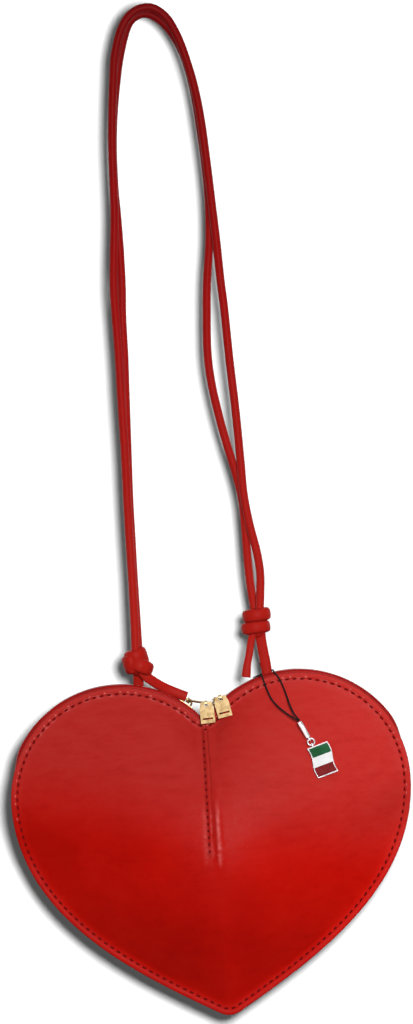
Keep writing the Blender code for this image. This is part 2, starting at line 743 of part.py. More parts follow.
def puller(name, rest_x, tilt, side, rise):
    """A flared plate with a slot above its end, hanging by the bar across its top window."""
    outline = (
        (-PULL_NECK_HALF, PULL_BAR_R), (PULL_NECK_HALF, PULL_BAR_R), (PULL_HALF, -PULL_SHOULDER),
        (PULL_HALF, -PULL_LENGTH), (-PULL_HALF, -PULL_LENGTH), (-PULL_HALF, -PULL_SHOULDER),
    )
    bm = bmesh.new()
    front = [bm.verts.new((x, -PULL_T / 2, z)) for x, z in outline]
    back = [bm.verts.new((x, PULL_T / 2, z)) for x, z in outline]
    bm.faces.new(front)
    bm.faces.new(back[::-1])
    for k in range(len(outline)):
        j = (k + 1) % len(outline)
        bm.faces.new((front[k], back[k], back[j], front[j]))
    bmesh.ops.recalc_face_normals(bm, faces=bm.faces)
    mesh = bpy.data.meshes.new(name)
    bm.to_mesh(mesh)
    bm.free()
    body = bpy.data.objects.new(name, mesh)
    through = PULL_T / 2 + CUT_OVERRUN
    window = box(name + "_window", (-PULL_WINDOW_HALF, -through, -PULL_WINDOW_LOW),
                 (PULL_WINDOW_HALF, through, CUT_OVERRUN))
    slot_low = -PULL_LENGTH + PULL_SLOT_RISE
    slot = box(name + "_slot", (-PULL_SLOT_HALF, -through, slot_low),
               (PULL_SLOT_HALF, through, slot_low + PULL_SLOT_H))
    reach = (PULL_WINDOW_HALF + PULL_NECK_HALF) / 2
    bar = cylinder(name + "_bar", PULL_BAR_R, (-reach, 0, 0), (reach, 0, 0))
    for piece in (window, slot):
        boolean(body, as_cutter(piece), "DIFFERENCE")
    boolean(body, as_cutter(bar), "UNION")
    place(body, "gold")
    frame = pull_frame(name + "_frame", rest_x).matrix_world
    for piece in (body, window, slot, bar):
        piece.matrix_world = frame @ plate_matrix(rest_x, tilt, side, rise)
    return body


def anchor_place(side):
    """The middle of a strap loop's eye, and the way out of the heart there."""
    angle = math.acos((ANCHOR_X - LOBE_X) / LOBE_R)
    eye = LEG_R + ANCHOR_SLACK + ANCHOR_WALL
    where, out = lobe_point(angle, STRIP_CROWN + CLEAR + ANCHOR_FOOT_T + eye)
    where.y = ANCHOR_Y
    return (where, out) if side > 0 else (flipped(where), flipped(out))


def anchor(name, side):
    """A leather loop on the back gusset strip, whose eye holds the strap's leg."""
    where, out = anchor_place(side)
    half = ANCHOR_WIDTH / 2
    inner = LEG_R + ANCHOR_SLACK
    outer = inner + ANCHOR_WALL
    body = cylinder(name, outer, (-half, 0, 0), (half, 0, 0))
    foot = box(
        name + "_foot", (-half, -ANCHOR_FOOT_HALF, -outer - ANCHOR_FOOT_T),
        (half, ANCHOR_FOOT_HALF, -inner - ANCHOR_WALL / 2),
    )
    bore = cylinder(name + "_bore", inner, (-half - CUT_OVERRUN, 0, 0), (half + CUT_OVERRUN, 0, 0))
    boolean(body, as_cutter(foot), "UNION")
    boolean(body, as_cutter(bore), "DIFFERENCE")
    place(body, "leather")
    turn = math.atan2(out.x, out.z)
    for piece in (body, foot, bore):
        piece.location = where
        piece.rotation_euler = (0, turn, 0)
    return body


def leg_route(side, top):
    """Down from the knot, round through the loop's eye and up again."""
    where, _ = anchor_place(side)
    half = ANCHOR_WIDTH / 2 + ANCHOR_SLACK + LEG_R
    start = Vector((top.x - LEG_HALF_TOP, top.y, top.z))
    route = [start, start.lerp(where + Vector((-half, 0, half)), LEG_MID_SHARE)]
    for k in range(LEG_TURN_STEPS + 1):
        angle = math.pi * (1 + k / LEG_TURN_STEPS)
        route.append(where + Vector((math.cos(angle), 0, 1 + math.sin(angle))) * half)
    end = Vector((top.x + LEG_HALF_TOP, top.y, top.z))
    route += [end.lerp(where + Vector((half, 0, half)), LEG_MID_SHARE), end]
    return smooth_route(route, LEG_POINTS)


def wrap_disc(name, middle, major, minor, turn):
    """A disc with a full round rim, as a cord wound round the knot's core."""
    points = [Vector((0, 0, minor))]
    for k in range(WRAP_ARC + 1):
        rise = math.pi * (0.5 - k / WRAP_ARC)
        reach = major + minor * math.cos(rise)
        for i in range(WRAP_SIDES):
            around = math.tau * i / WRAP_SIDES
            points.append(Vector((
                reach * math.cos(around), reach * KNOT_DEPTH_SHARE * math.sin(around), minor * math.sin(rise)
            )))
    points.append(Vector((0, 0, -minor)))
    faces = []
    for i in range(WRAP_SIDES):
        j = (i + 1) % WRAP_SIDES
        faces.append([0, 1 + i, 1 + j])
        for k in range(WRAP_ARC):
            first = 1 + k * WRAP_SIDES
            faces.append([first + i, first + WRAP_SIDES + i, first + WRAP_SIDES + j, first + j])
        last = len(points) - 1 - WRAP_SIDES
        faces.append([last + i, len(points) - 1, last + j])
    place_at = Matrix.LocRotScale(middle, turn, None)
    return facing_out(mesh_object(name, [place_at @ p for p in points], faces, "strap"))


def ball(name, middle, radii):
    bm = bmesh.new()
    bmesh.ops.create_uvsphere(bm, u_segments=14, v_segments=8, radius=1.0)
    bmesh.ops.transform(bm, matrix=Matrix.LocRotScale(middle, None, Vector(radii)), verts=bm.verts)
    mesh = bpy.data.meshes.new(name)
    bm.to_mesh(mesh)
    bm.free()
    obj = bpy.data.objects.new(name, mesh)
    bpy.context.scene.collection.objects.link(obj)
    return obj


def knot_shape(name, middle, wraps, grow=0.0):
    """A knot's core joined with its wraps, each grown by a clearance where it is to cut a cord."""
    body = ball(name, middle, [radius + grow for radius in KNOT_CORE])
    for k, (rise, major, lean) in enumerate(wraps):
        turn = Matrix.Rotation(lean, 3, "Y").to_quaternion()
        where = middle + Vector((0, 0, rise))
        wrap = wrap_disc(name + f"_wrap_{k}", where, major, KNOT_WRAP_R + grow, turn)
        boolean(body, as_cutter(wrap), "UNION")
    return body


def knot(name, middle, wraps):
    return smooth(place(knot_shape(name, middle, wraps), "strap"))


def strand_lean(x, z):
    """How far a strand leans forward or back near its end, to run into its knot."""
    middle = LEFT_KNOT_MID if x < 0 else RIGHT_KNOT_MID
    return middle.y * (1 - smoothstep((z - middle.z) / STRAND_LEAN_HEIGHT))


def cord_to_knots(name, points, radius, *cuts):
    """A cord whose ends inside the knots are cut back to their surfaces."""
    body = mesh_of_curve(tube(name, points, radius, "strap"))
    for cut in cuts:
        boolean(body, cut, "DIFFERENCE")
    return smooth(place(body, "strap"))


def dome_y(x, z):
    """How far forward the front panel's outer surface lies at a place."""
    rings, peak = dome_rings(-1)
    ray = Vector((x - peak.x, z - peak.z))
    angle = math.atan2(ray.y, ray.x)
    edge, around = rings[1], len(rings[1])
    for k in range(around):
        a, b = edge[k], edge[(k + 1) % around]
        first = math.atan2(a.z - peak.z, a.x - peak.x)
        turned = (math.atan2(b.z - peak.z, b.x - peak.x) - first + math.pi) % math.tau - math.pi
        here = (angle - first + math.pi) % math.tau - math.pi
        share = here / turned
        if 0 <= share <= 1:
            break
    reach = a.lerp(b, share)
    full = math.hypot(reach.x - peak.x, reach.z - peak.z)
    spare = full - DOME_ROUND_R
    part = 2 * ray.length / (DOME_ROUND_R + math.sqrt(DOME_ROUND_R**2 + 4 * spare * ray.length))
    if part >= 1:
        return reach.y
    return reach.y - (DEPTH_HALF + reach.y) * (1 - part * part) ** DOME_POWER


def flag_axes():
    """The flag's ways to its right and up its height."""
    across = Vector((math.cos(FLAG_TILT), 0, math.sin(FLAG_TILT)))
    return across, Vector((-across.z, 0, across.x))


def charm_y():
    """Where the charm's middle plane lies: just in front of the dome all over the flag and the ferrule."""
    across, up = flag_axes()
    places = [FERRULE_TOP, FERRULE_END, RING_MID]
    for u in (-1, 0, 1):
        for v in (-1, 0, 1):
            places.append(FLAG_MID + across * u * FLAG_HALF_W + up * v * FLAG_HALF_H)
    thick = max(FLAG_T / 2, FERRULE_R, EYE_R, RING_WIRE_R)
    return min(dome_y(p.x, p.z) for p in places) - CLEAR - thick


def waved_plate(name, half_w, low, high, back, front):
    """A plate across the flag from low to high of its height, its sides waved, between two depths."""
    across, up = flag_axes()
    points, faces = [], []
    for k in range(FLAG_ROWS + 1):
        v = low + (high - low) * k / FLAG_ROWS
        wave = FLAG_WAVE * math.sin(math.pi * v / FLAG_HALF_H)
        for u, y in ((-half_w, front), (half_w, front), (half_w, back), (-half_w, back)):
            points.append(FLAG_MID + across * (u + wave) + up * v + Vector((0, y, 0)))
    for k in range(FLAG_ROWS):
        for i in range(4):
            j = (i + 1) % 4
            faces.append([4 * k + i, 4 * k + j, 4 * k + 4 + j, 4 * k + 4 + i])
    faces.append([0, 1, 2, 3])
    faces.append([4 * FLAG_ROWS + i for i in range(4)])
    return facing_out(mesh_object(name, points, faces, "silver"))


def eye(name, middle, normal):
    """A flat disc and the bore for the jump ring through it."""
    half = normal * EYE_T / 2
    disc = cylinder(name, EYE_R, middle - half, middle + half, 12)
    bore_half = half + normal * CUT_OVERRUN
    bore = cylinder(name + "_bore", RING_WIRE_R + CLEAR, middle - bore_half, middle + bore_half, 12)
    return as_cutter(disc), as_cutter(bore)


def charm_flag(depth):
    """The flag's silver frame with its eye, and its three enamel fields in the frame's recess."""
    across, up = flag_axes()
    front, back = depth - FLAG_T / 2, depth + FLAG_T / 2
    body = waved_plate("charm_frame", FLAG_HALF_W, -FLAG_HALF_H, FLAG_HALF_H, back, front)
    inner_w, inner_h = FLAG_HALF_W - FLAG_EDGE, FLAG_HALF_H - FLAG_EDGE
    floor = front + ENAMEL_T + CLEAR
    recess = waved_plate("charm_recess", inner_w, -inner_h, inner_h, floor, front - CUT_OVERRUN)
    hang = RING_MID - up * RING_R + Vector((0, depth, 0))
    disc, bore = eye("charm_frame_eye", hang, across)
    boolean(body, as_cutter(recess), "DIFFERENCE")
    boolean(body, disc, "UNION")
    boolean(body, bore, "DIFFERENCE")
    third = 2 * inner_h / 3
    for k, look in enumerate(("maroon", "white", "green")):
        low = -inner_h + k * third + CLEAR / 2
        field = waved_plate(
            f"enamel_{look}", inner_w - CLEAR, max(low, CLEAR - inner_h),
            min(low + third - CLEAR, inner_h - CLEAR), front + ENAMEL_T, front,
        )
        place(field, look)


def charm_ferrule(depth):
    forward = Vector((0, depth, 0))
    top, end = FERRULE_TOP + forward, FERRULE_END + forward
    along = (RING_MID + forward - end).normalized()
    body = cylinder("charm_ferrule", FERRULE_R, top, end, 14)
    disc, bore = eye("charm_ferrule_eye", RING_MID + forward - along * RING_R, Vector((along.z, 0, -along.x)))
    boolean(body, disc, "UNION")
    boolean(body, bore, "DIFFERENCE")
    place(body, "silver")


def charm_ring(depth):
    angles = [math.tau * k / 16 for k in range(16)]
    middle = RING_MID + Vector((0, depth, 0))
    route = [middle + Vector((math.cos(a), 0, math.sin(a))) * RING_R for a in angles]
    tube("charm_ring", route, RING_WIRE_R, "silver", resolution=1, cyclic=True)


def charm_cord(depth):
    """The thin cord that goes round the right leg and down over the front panel to the ferrule."""
    lift = LANYARD_R + CLEAR
    ends = []
    for route in (LANYARD_LEFT_ROUTE, LANYARD_RIGHT_ROUTE):
        run = []
        for x, z in route:
            surface = min(dome_y(x, z), -RIM_HALF) - lift
            share = smoothstep((CORD_HIGH_Z - z) / (CORD_HIGH_Z - FERRULE_TOP.z))
            run.append(Vector((x, min(surface, -RIM_HALF - lift + (depth + RIM_HALF + lift) * share), z)))
        ends.append(run)
    loop = [Vector(p) for p in LANYARD_LOOP_ROUTE]
    tube("charm_cord", smooth_route(ends[0] + loop + ends[1], LANYARD_POINTS), LANYARD_R, "cord", 1)


def hinge(name, where, axis, pieces):
    """An empty on the hinge of a moving body, its X along the axis, that carries the body's pieces."""
    hold = bpy.data.objects.new(name, None)
    PARTS.objects.link(hold)
    turn = Vector((1, 0, 0)).rotation_difference(axis).to_matrix().to_4x4()
    hold.matrix_world = Matrix.Translation(where) @ turn
    for piece in pieces:
        obj = bpy.data.objects[piece]
        obj.parent = hold
        obj.matrix_parent_inverse = hold.matrix_world.inverted()
    return hold


def main():
    clear_scene()
    for side, word in ((-1, "front"), (1, "back")):
        panel(f"{word}_panel", side)
        lining(f"{word}_lining", side)
        gusset_strip(f"gusset_{word}", side)
        zip_tape(f"zip_tape_{word}", side)
        zip_row(f"zip_teeth_{word}", side)
    for side, word in ((-1, "left"), (1, "right")):
        zip_stop(f"{word}_zip_stop", side)
        end_tab(f"{word}_gusset_tab", side)
        anchor(f"{word}_strap_loop", side)
    for word, rest_x, tilt, side, rise in (
        ("left", LEFT_REST_X, LEFT_PULL_TILT, LEFT_PULL_SIDE, LEFT_PULL_RISE),
        ("right", RIGHT_REST_X, RIGHT_PULL_TILT, RIGHT_PULL_SIDE, RIGHT_PULL_RISE),
    ):
        slider(f"{word}_slider", rest_x)
        pull_link(f"{word}_pull_link", rest_x, tilt, side, rise)
        puller(f"{word}_puller", rest_x, tilt, side, rise)
    cuts = {}
    for word, middle, wraps in (
        ("left", LEFT_KNOT_MID, LEFT_WRAPS), ("right", RIGHT_KNOT_MID, RIGHT_WRAPS)
    ):
        knot(f"{word}_knot", middle, wraps)
        cuts[word] = as_cutter(knot_shape(f"{word}_knot_cut", middle, wraps, CLEAR))
    for word, y, route in (
        ("front", -STRAND_Y, STRAND_FRONT_ROUTE), ("back", STRAND_Y, STRAND_BACK_ROUTE)
    ):
        route = smooth_route([Vector((x, y + strand_lean(x, z), z)) for x, z in route], STRAND_POINTS)
        cord_to_knots(f"strap_strand_{word}", route, STRAND_R, cuts["left"], cuts["right"])
    cord_to_knots("left_leg", leg_route(-1, LEFT_KNOT_MID), LEG_R, cuts["left"])
    cord_to_knots("right_leg", leg_route(1, RIGHT_KNOT_MID), LEG_R, cuts["right"])
    cord_to_knots("left_tail", smooth_route(LEFT_TAIL_ROUTE, TAIL_POINTS), TAIL_R, cuts["left"])
    cord_to_knots("right_tail", smooth_route(RIGHT_TAIL_ROUTE, TAIL_POINTS), TAIL_R, cuts["right"])
    depth = charm_y()
    for piece in (charm_cord, charm_ferrule, charm_ring, charm_flag):
        piece(depth)
    across, up = flag_axes()
    hang = RING_MID - up * RING_R + Vector((0, depth, 0))
    hinge("flag_hinge", hang, across, ("charm_frame", "enamel_maroon", "enamel_white", "enamel_green"))
    swing, _ = anchor_place(1)
    sideways = Vector((1, 0, 0))
    hinge("charm_hinge", swing, sideways, ("charm_cord", "charm_ferrule", "charm_ring", "flag_hinge"))
    hanging = [obj.name for obj in PARTS.objects if obj.parent is None and obj.name not in STRAP_PIECES]
    hinge("bag_hinge", Vector((0, swing.y, swing.z)), sideways, hanging)


PARTS = bpy.data.collections.new("heart_shoulder_bag")
CUTTERS = bpy.data.collections.new("cutters")
bpy.context.scene.collection.children.link(PARTS)
bpy.context.scene.collection.children.link(CUTTERS)
main()
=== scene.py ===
"""Looks of the heart-shaped leather shoulder bag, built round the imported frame.

Metres, +Z up, +X to the right and the front towards -Y.
The origin is at the strap's crown, between its two cords.
"""

import bmesh
import bpy
import json
import math
from mathutils import Matrix, Vector, noise
from mathutils.bvhtree import BVHTree

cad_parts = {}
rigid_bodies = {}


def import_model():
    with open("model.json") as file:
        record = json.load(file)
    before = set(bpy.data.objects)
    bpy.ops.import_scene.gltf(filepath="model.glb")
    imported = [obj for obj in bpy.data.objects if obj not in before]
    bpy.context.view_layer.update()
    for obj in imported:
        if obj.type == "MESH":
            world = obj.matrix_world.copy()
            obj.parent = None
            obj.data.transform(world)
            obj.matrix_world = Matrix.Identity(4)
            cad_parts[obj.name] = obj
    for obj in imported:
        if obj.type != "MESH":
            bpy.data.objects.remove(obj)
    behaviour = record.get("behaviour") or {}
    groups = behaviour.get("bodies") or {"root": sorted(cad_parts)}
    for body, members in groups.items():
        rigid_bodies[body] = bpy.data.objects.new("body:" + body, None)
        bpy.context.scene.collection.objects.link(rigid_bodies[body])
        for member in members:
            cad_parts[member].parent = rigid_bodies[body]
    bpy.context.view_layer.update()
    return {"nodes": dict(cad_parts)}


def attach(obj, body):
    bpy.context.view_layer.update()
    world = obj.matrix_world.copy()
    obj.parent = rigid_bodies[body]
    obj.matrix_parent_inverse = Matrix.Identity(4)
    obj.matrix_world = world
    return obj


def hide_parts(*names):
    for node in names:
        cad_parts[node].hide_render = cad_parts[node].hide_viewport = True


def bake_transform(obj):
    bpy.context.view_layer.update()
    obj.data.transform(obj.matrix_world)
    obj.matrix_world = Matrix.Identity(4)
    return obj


CLEAR = 0.0003
ROUTE_STEPS = 16
OUTSIDE_Y = 0.2

# View: straight at the front, turned by the photograph's tilt
TILT = math.radians(5)
VIEW_MIDDLE = Vector((0.00995, 0.0, -0.2502))
VIEW_HEIGHT = 0.512
VIEW_DISTANCE = 6.0
SENSOR = 36.0

# Heart outline: two lobe arcs, a cubic side and a rounded tip
LOBE_R = 0.0555
LOBE_X = 0.0445
LOBE_Z = -0.3892
NOTCH_R = 0.0045
TIP_DROP = 0.1125
TIP_R = 0.010
TIP_SLOPE = math.radians(30)
SIDE_TOP_HANDLE = 0.056
SIDE_TIP_HANDLE = 0.046
NOTCH_STATIONS = 12
LOBE_STATIONS = 64
LOBE_CROWDING = 1.3
SIDE_STATIONS = 66
TIP_STATIONS = 8

# Panels
DEPTH_HALF = 0.030
RIM_HALF = 0.009
LEATHER_T = 0.0016
FLANGE = 0.0045
DART_END_DROP = 0.031
DOME_POWER = 1.15
DOME_ROUND_R = 0.076
DOME_RINGS = 46
GUSSET_FADE_TOP = 0.004
GUSSET_FADE_DEPTH = 0.036
SMOOTH_ROUNDS = 60
SLOW_HOLLOW = 0.00042
FINE_HOLLOW = 0.00013

# Places between which the leather's colour is painted paler upwards, a painted sheen from the light above,
# and painted brighter to the right, painted light from that side
PAINTED_SHEEN_LOW = -0.426
PAINTED_SHEEN_HIGH = -0.374
PAINTED_SHEEN_LEAN = 0.22
PAINTED_LIGHT_LOW_X = -0.010
PAINTED_LIGHT_HIGH_X = 0.090
PAINTED_LIGHT_LIFT = 1.28

# Leather: noises as scale, detail and roughness, and how their coordinates are stretched and turned
DYE_CLOUDS = (26.0, 4.0, 0.55)
DYE_GRAIN = (420.0, 3.0, 0.6)
MOTTLE_SHARE = 0.22
CREASES = (55.0, 4.0, 0.6)
CREASE_STRETCH = (1.0, 1.0, 0.35)
CREASE_TURN = (0.0, 0.5, 0.0)
STREAKS = (230.0, 5.0, 0.68)
STREAK_STRETCH = (0.35, 1.0, 1.0)
STREAK_TURN = (0.0, 0.30, 0.0)
# Streak tones darken the streaks' hollows and pale their crests: painted shade and painted sheen
STREAK_PAINTED_SHADE_AND_SHEEN = ((0.34, (0.93, 0.86, 0.86)), (0.48, (1.0, 1.0, 1.0)), (0.64, (1.0, 1.22, 1.22)))
GRAIN_SCALE = 900.0
PORES = (2600.0, 2.0)
# Colours of painted highlights and of painted shade in grooves and hollows
PAINTED_HIGHLIGHT_TONE = (0.80, 0.16, 0.15)
PAINTED_HIGHLIGHT_SPECKLE = 0.30
PAINTED_SHADE_TONE = (0.17, 0.0015, 0.001)

# Strap's noises, and its colours from its low places up to the crown
STRAP_GRAIN = (500.0, 3.0, 0.6)
STRAP_CREASES = (160.0, 3.0)
STRAP_GRAIN_SCALE = 1300.0
STRAP_LOW_Z = -0.30
STRAP_HIGH_Z = 0.01
STRAP_PALE = (0.42, 0.012, 0.008)
STRAP_TONES = (
    (0.0, (0.46, 0.014, 0.009)), (0.45, (0.34, 0.006, 0.005)), (0.65, (0.265, 0.003, 0.003)),
    (0.85, (0.195, 0.002, 0.002)), (1.0, (0.145, 0.002, 0.003)),
)

# Seams: a sewn line inside the edge, and the dart from the notch to the fullest place
SEAM_INSET = 0.0032
SEAM_SWELL = 0.00014
SEAM_PITCH = 0.0038
STITCH_LENGTH = 0.0021
STITCH_R = 0.00052
STITCH_SLANT = 0.10
PUCKER_SHIFT = 0.00105
PUCKER_LENGTH = 0.0017
PUCKER_R = 0.00044
PUCKER_LOW_Z = -0.400
PUCKER_CHANCE = -0.08
DART_PITCH = 0.0034
DART_STITCH_LENGTH = 0.0014
SEAM_DIP = 0.00022
SEAM_DIP_WIDTH = 0.0005
DART_TOP = Vector((-0.0002, 0.0, -0.3575))
DART_END = Vector((-0.0022, 0.0, -0.4215))
DART_STITCH_SHIFT = -0.0011
DART_STITCH_TOP = -0.3642
DART_STITCH_END = -0.4200
DART_DIP = 0.0007
DART_DIP_WIDTH = 0.0009
DART_RIDGE = 0.0005
DART_RIDGE_SHIFT = 0.0038
DART_RIDGE_WIDTH = 0.0017
DART_WOBBLE = 0.0006

# Spans of the dart's groove, ridge, painted highlights and painted shade, as shares of its height: start,
# rise, end and fall
DART_GROOVE_SPAN = (-0.14, 0.30, 1.10, 0.18)
DART_RIDGE_SPAN = (-0.22, 0.25, 0.78, 0.30)
DART_HIGHLIGHT_SPAN = (-0.10, 0.12, 0.46, 0.16)
DART_SHADE_SPAN = (-0.06, 0.1, 1.06, 0.1)

# One stitch's bead, as places along it and the share of its radius there
STITCH_STATIONS = (
    (-1.0, 0.0), (-0.93, 0.55), (-0.74, 0.92), (0.0, 1.0), (0.74, 0.92), (0.93, 0.55), (1.0, 0.0),
)
STITCH_SIDES = 8
STITCH_FLAT = 0.75
STITCH_RAISE = 0.4
PUCKER_SINK = 0.35

# Rings of a panel's edge, from its inside round the cut to the flange, as distance inwards and rise
EDGE_PROFILE = (
    (0.0032, -LEATHER_T - SEAM_SWELL), (0.0010, -LEATHER_T - SEAM_SWELL),
    (0.0002, -LEATHER_T + 0.0001), (0.0, -LEATHER_T + 0.0004),
    (0.0, -0.0009), (0.0, -0.0005), (0.00012, -0.0002), (0.0004, 0.0),
    (0.0009, 0.00004), (0.0016, 0.00005), (0.0022, 0.00003), (0.0026, 0.0),
    (0.0029, 0.0), (SEAM_INSET, 0.0), (0.0035, 0.0), (0.0039, 0.0), (FLANGE, 0.0),
)

# The outer face's lowest rise and first ring, how many rings are cut and go soft, and the seam's ring
FACE_RISE = -0.0001
CUT_RINGS = 6
FACE_RING = 8
SOFT_RINGS = 14
SEAM_RING = EDGE_PROFILE.index((SEAM_INSET, 0.0))

# Painted highlights and painted shade on the leather: heights and widths of these marks, and of those beside
# the dart's stitches
PAINTED_HIGHLIGHT_LOW_Z = LOBE_Z + 0.012
PAINTED_HIGHLIGHT_FADE = 0.030
SPECK_SCALE = 420
CREST_HIGHLIGHT_WIDTH = 0.00085
BESIDE_STITCH_HIGHLIGHTS = ((0.0016, 0.0007), (-0.0017, 0.0008))
PAINTED_SHADE_WIDTH = 0.0007
PAINTED_SHADE_SHIFT = 0.0014

# Zip
STRIP_T = 0.0011
STRIP_CROWN = 0.0016
STRIP_INNER = 0.0038
STRIP_FLANGE = 0.0040
TEETH_LOW = -0.0011
TEETH_HIGH = 0.0005
TRACK_END = math.radians(7)
ROW_END = math.radians(11)
TRACK_SINK = 0.0030
TRACK_FADE = math.radians(26)
TOOTH_PITCH = 0.0020
TOOTH_STATIONS = 240
TOOTH_SECTIONS = (
    (-0.00035, 0.00052, 0.55), (-0.0001, 0.0007, 0.85), (0.0006, 0.00072, 1.0),
    (0.0011, 0.0005, 1.0), (0.0019, 0.0005, 0.8),
)
GUSSET_KNOTS = ((1.0, -1.0), (1.0, -0.3), (1.0, 0.33), (0.80, 0.80), (0.42, 1.0), (0.0, 0.88))
GUSSET_POINTS = 22
GUSSET_STATIONS = 150
GUSSET_RIPPLE = 0.00018

# Strap: the two strands' routes seen from the front, at the crown a little closer together than the
# solids' so that no light shows between them
STRAND_R = 0.0021
STRAND_Y = 0.0023
STRAND_LEAN_HEIGHT = 0.045
STRAND_POINTS = 260
STRAND_FRONT = (
    (-0.0314, -0.3160), (-0.0308, -0.304), (-0.0300, -0.280), (-0.0296, -0.260), (-0.0290, -0.240),
    (-0.0281, -0.215), (-0.0276, -0.190), (-0.0270, -0.170), (-0.0268, -0.150), (-0.0265, -0.135),
    (-0.0250, -0.118), (-0.0231, -0.100), (-0.0222, -0.085), (-0.0212, -0.065), (-0.0197, -0.048),
    (-0.0178, -0.032), (-0.0157, -0.018), (-0.0109, -0.0048), (-0.0045, 0.0022), (0.0032, 0.0037),
    (0.0088, 0.0007), (0.0130, -0.0047), (0.0169, -0.0142), (0.0200, -0.026), (0.0225, -0.039),
    (0.0242, -0.055),
    (0.0252, -0.075), (0.0259, -0.095), (0.0266, -0.115), (0.0270, -0.135), (0.0276, -0.150),
    (0.0280, -0.175), (0.0288, -0.200), (0.0291, -0.225), (0.0292, -0.243), (0.0308, -0.258),
    (0.0332, -0.272), (0.0340, -0.283), (0.0331, -0.2935), (0.0318, -0.3040),
)
STRAND_BACK = (
    (-0.0300, -0.3160), (-0.0297, -0.304), (-0.0292, -0.280), (-0.0286, -0.260), (-0.0280, -0.240),
    (-0.0267, -0.215), (-0.0254, -0.190), (-0.0243, -0.170), (-0.0236, -0.150), (-0.0225, -0.135),
    (-0.0219, -0.118), (-0.0217, -0.100), (-0.0218, -0.085), (-0.0209, -0.065), (-0.0190, -0.048),
    (-0.0162, -0.032), (-0.0130, -0.018), (-0.0081, -0.0044), (-0.0026, 0.0003), (0.0033, 0.0002),
    (0.0101, -0.0051), (0.0157, -0.0142), (0.0194, -0.025), (0.0219, -0.039), (0.0233, -0.055),
    (0.0244, -0.075), (0.0246, -0.095), (0.0232, -0.115), (0.0203, -0.135), (0.0188, -0.150),
    (0.0174, -0.170), (0.0180, -0.186), (0.0205, -0.204), (0.0234, -0.219), (0.0262, -0.232),
    (0.0283, -0.246), (0.0285, -0.260), (0.0284, -0.275), (0.0286, -0.287), (0.0298, -0.3040),
)

# Legs and tails of the knots
LEG_HALF_WIDE = 0.0026
LEG_HALF_THICK = 0.0013
STRIP_POINTS = 60
STRIP_SIDES = 20
STRIP_POWER = 0.75
LEFT_LEG = (
    (-0.0306, -0.0026, -0.3222), (-0.0309, -0.0008, -0.3262), (-0.0312, 0.0006, -0.3298),
    (-0.0314, 0.0014, -0.3328), (-0.0315, 0.0016, -0.3350),
)
RIGHT_LEG = (
    (0.0312, -0.0004, -0.3110), (0.0316, 0.0004, -0.3170), (0.0322, 0.0010, -0.3230),
    (0.0328, 0.0014, -0.3285), (0.0331, 0.0016, -0.3325), (0.0332, 0.0016, -0.3345),
)
TAIL_HALF_WIDE = 0.0025
TAIL_HALF_THICK = 0.0013
LEFT_TAIL = (
    (-0.0292, -0.0044, -0.3266), (-0.0268, -0.0042, -0.3298), (-0.0240, -0.0030, -0.3322),
    (-0.0208, -0.0014, -0.3346), (-0.0172, -0.0002, -0.3368), (-0.0122, 0.0004, -0.3394),
    (-0.0080, 0.0004, -0.3414),
)
RIGHT_TAIL = (
    (0.0282, -0.0010, -0.3110), (0.0264, -0.0026, -0.3170), (0.0250, -0.0032, -0.3230),
    (0.0236, -0.0034, -0.3280), (0.0224, -0.0034, -0.3342),
)
TAIL_WAIST = 0.92
TAIL_FLARE = 0.22

# Knots: rise, sideways shift, radii, half height, half thickness, lean and pitch of each turn
LEFT_KNOT = Vector((-0.0308, -0.0032, -0.3200))
RIGHT_KNOT = Vector((0.0302, 0.0006, -0.3079))
RIGHT_CORE = (0.0052, 0.0042, 0.0078)
LEFT_SAG = Vector((-0.0002, 0.0, -0.0018))
LEFT_CORE = (0.0060, 0.0048, 0.0070)
LEFT_BANDS = (
    (0.0031, -0.0004, (0.0032, 0.0030), 0.0036, 0.0026, math.radians(-14), math.radians(8)),
    (-0.0022, 0.0008, (0.0045, 0.0037), 0.0037, 0.0026, math.radians(26), math.radians(-6)),
    (-0.0008, -0.0030, (0.0022, 0.0034), 0.0048, 0.0020, math.radians(-12), math.radians(4)),
)
RIGHT_BANDS = (
    (0.0042, 0.0002, (0.0046, 0.0034), 0.0033, 0.0025, math.radians(-4), 0.0),
    (-0.0020, -0.0007, (0.0048, 0.0035), 0.0031, 0.0025, math.radians(-3), 0.0),
)
TURN_AROUND = 72
TURN_SIDES = 18
TURN_POWERS = (0.75, 0.62)
TURN_PINCH = 0.10
CORE_RINGS = 14
CORE_SIDES = 28
KNOT_RIPPLE = 0.03

# Charm's cord
LANYARD_R = 0.00045
LANYARD_POINTS = 240
LANYARD_SIDES = 12
CORD_HIGH_Z = -0.337
CHARM_Y = -0.021414
FERRULE_TOP_Z = -0.3584
FLAG_TILT = math.radians(16)
FIELD_SWELL = (
    (Vector((math.cos(FLAG_TILT), 0, math.sin(FLAG_TILT))), 0.00030),
    (Vector((-math.sin(FLAG_TILT), 0, math.cos(FLAG_TILT))), 0.00014),
)
LANYARD_LEFT = (
    (0.04626, -0.35820), (0.0456, -0.35715), (0.0432, -0.3555), (0.0377, -0.3507), (0.0340, -0.3457),
    (0.0318, -0.3396), (0.0309, -0.3362),
)
LANYARD_LOOP = (
    (0.0302, -0.0086, -0.3339), (0.0284, -0.0050, -0.3342), (0.0268, 0.0004, -0.3350),
    (0.0265, 0.0050, -0.3348), (0.0277, 0.0088, -0.3345), (0.0306, 0.0098, -0.3335),
    (0.0336, 0.0088, -0.3322), (0.0352, 0.0052, -0.3318), (0.0359, 0.0000, -0.3318),
    (0.0363, -0.0050, -0.3320), (0.0368, -0.0086, -0.3330),
)
LANYARD_RIGHT = (
    (0.0376, -0.3341), (0.0390, -0.3366), (0.0405, -0.3406), (0.0417, -0.3448), (0.0429, -0.3494),
    (0.0445, -0.3538), (0.0464, -0.3567), (0.04716, -0.35778),
)

# Rounding of the solids: places welded, faces taken as flat, edges kept sharp, walls that swell
WELD = 2e-6
FLAT_ANGLE = math.radians(1.5)
SHARP_ANGLE = math.radians(32)
SWELL_FACING = 0.3

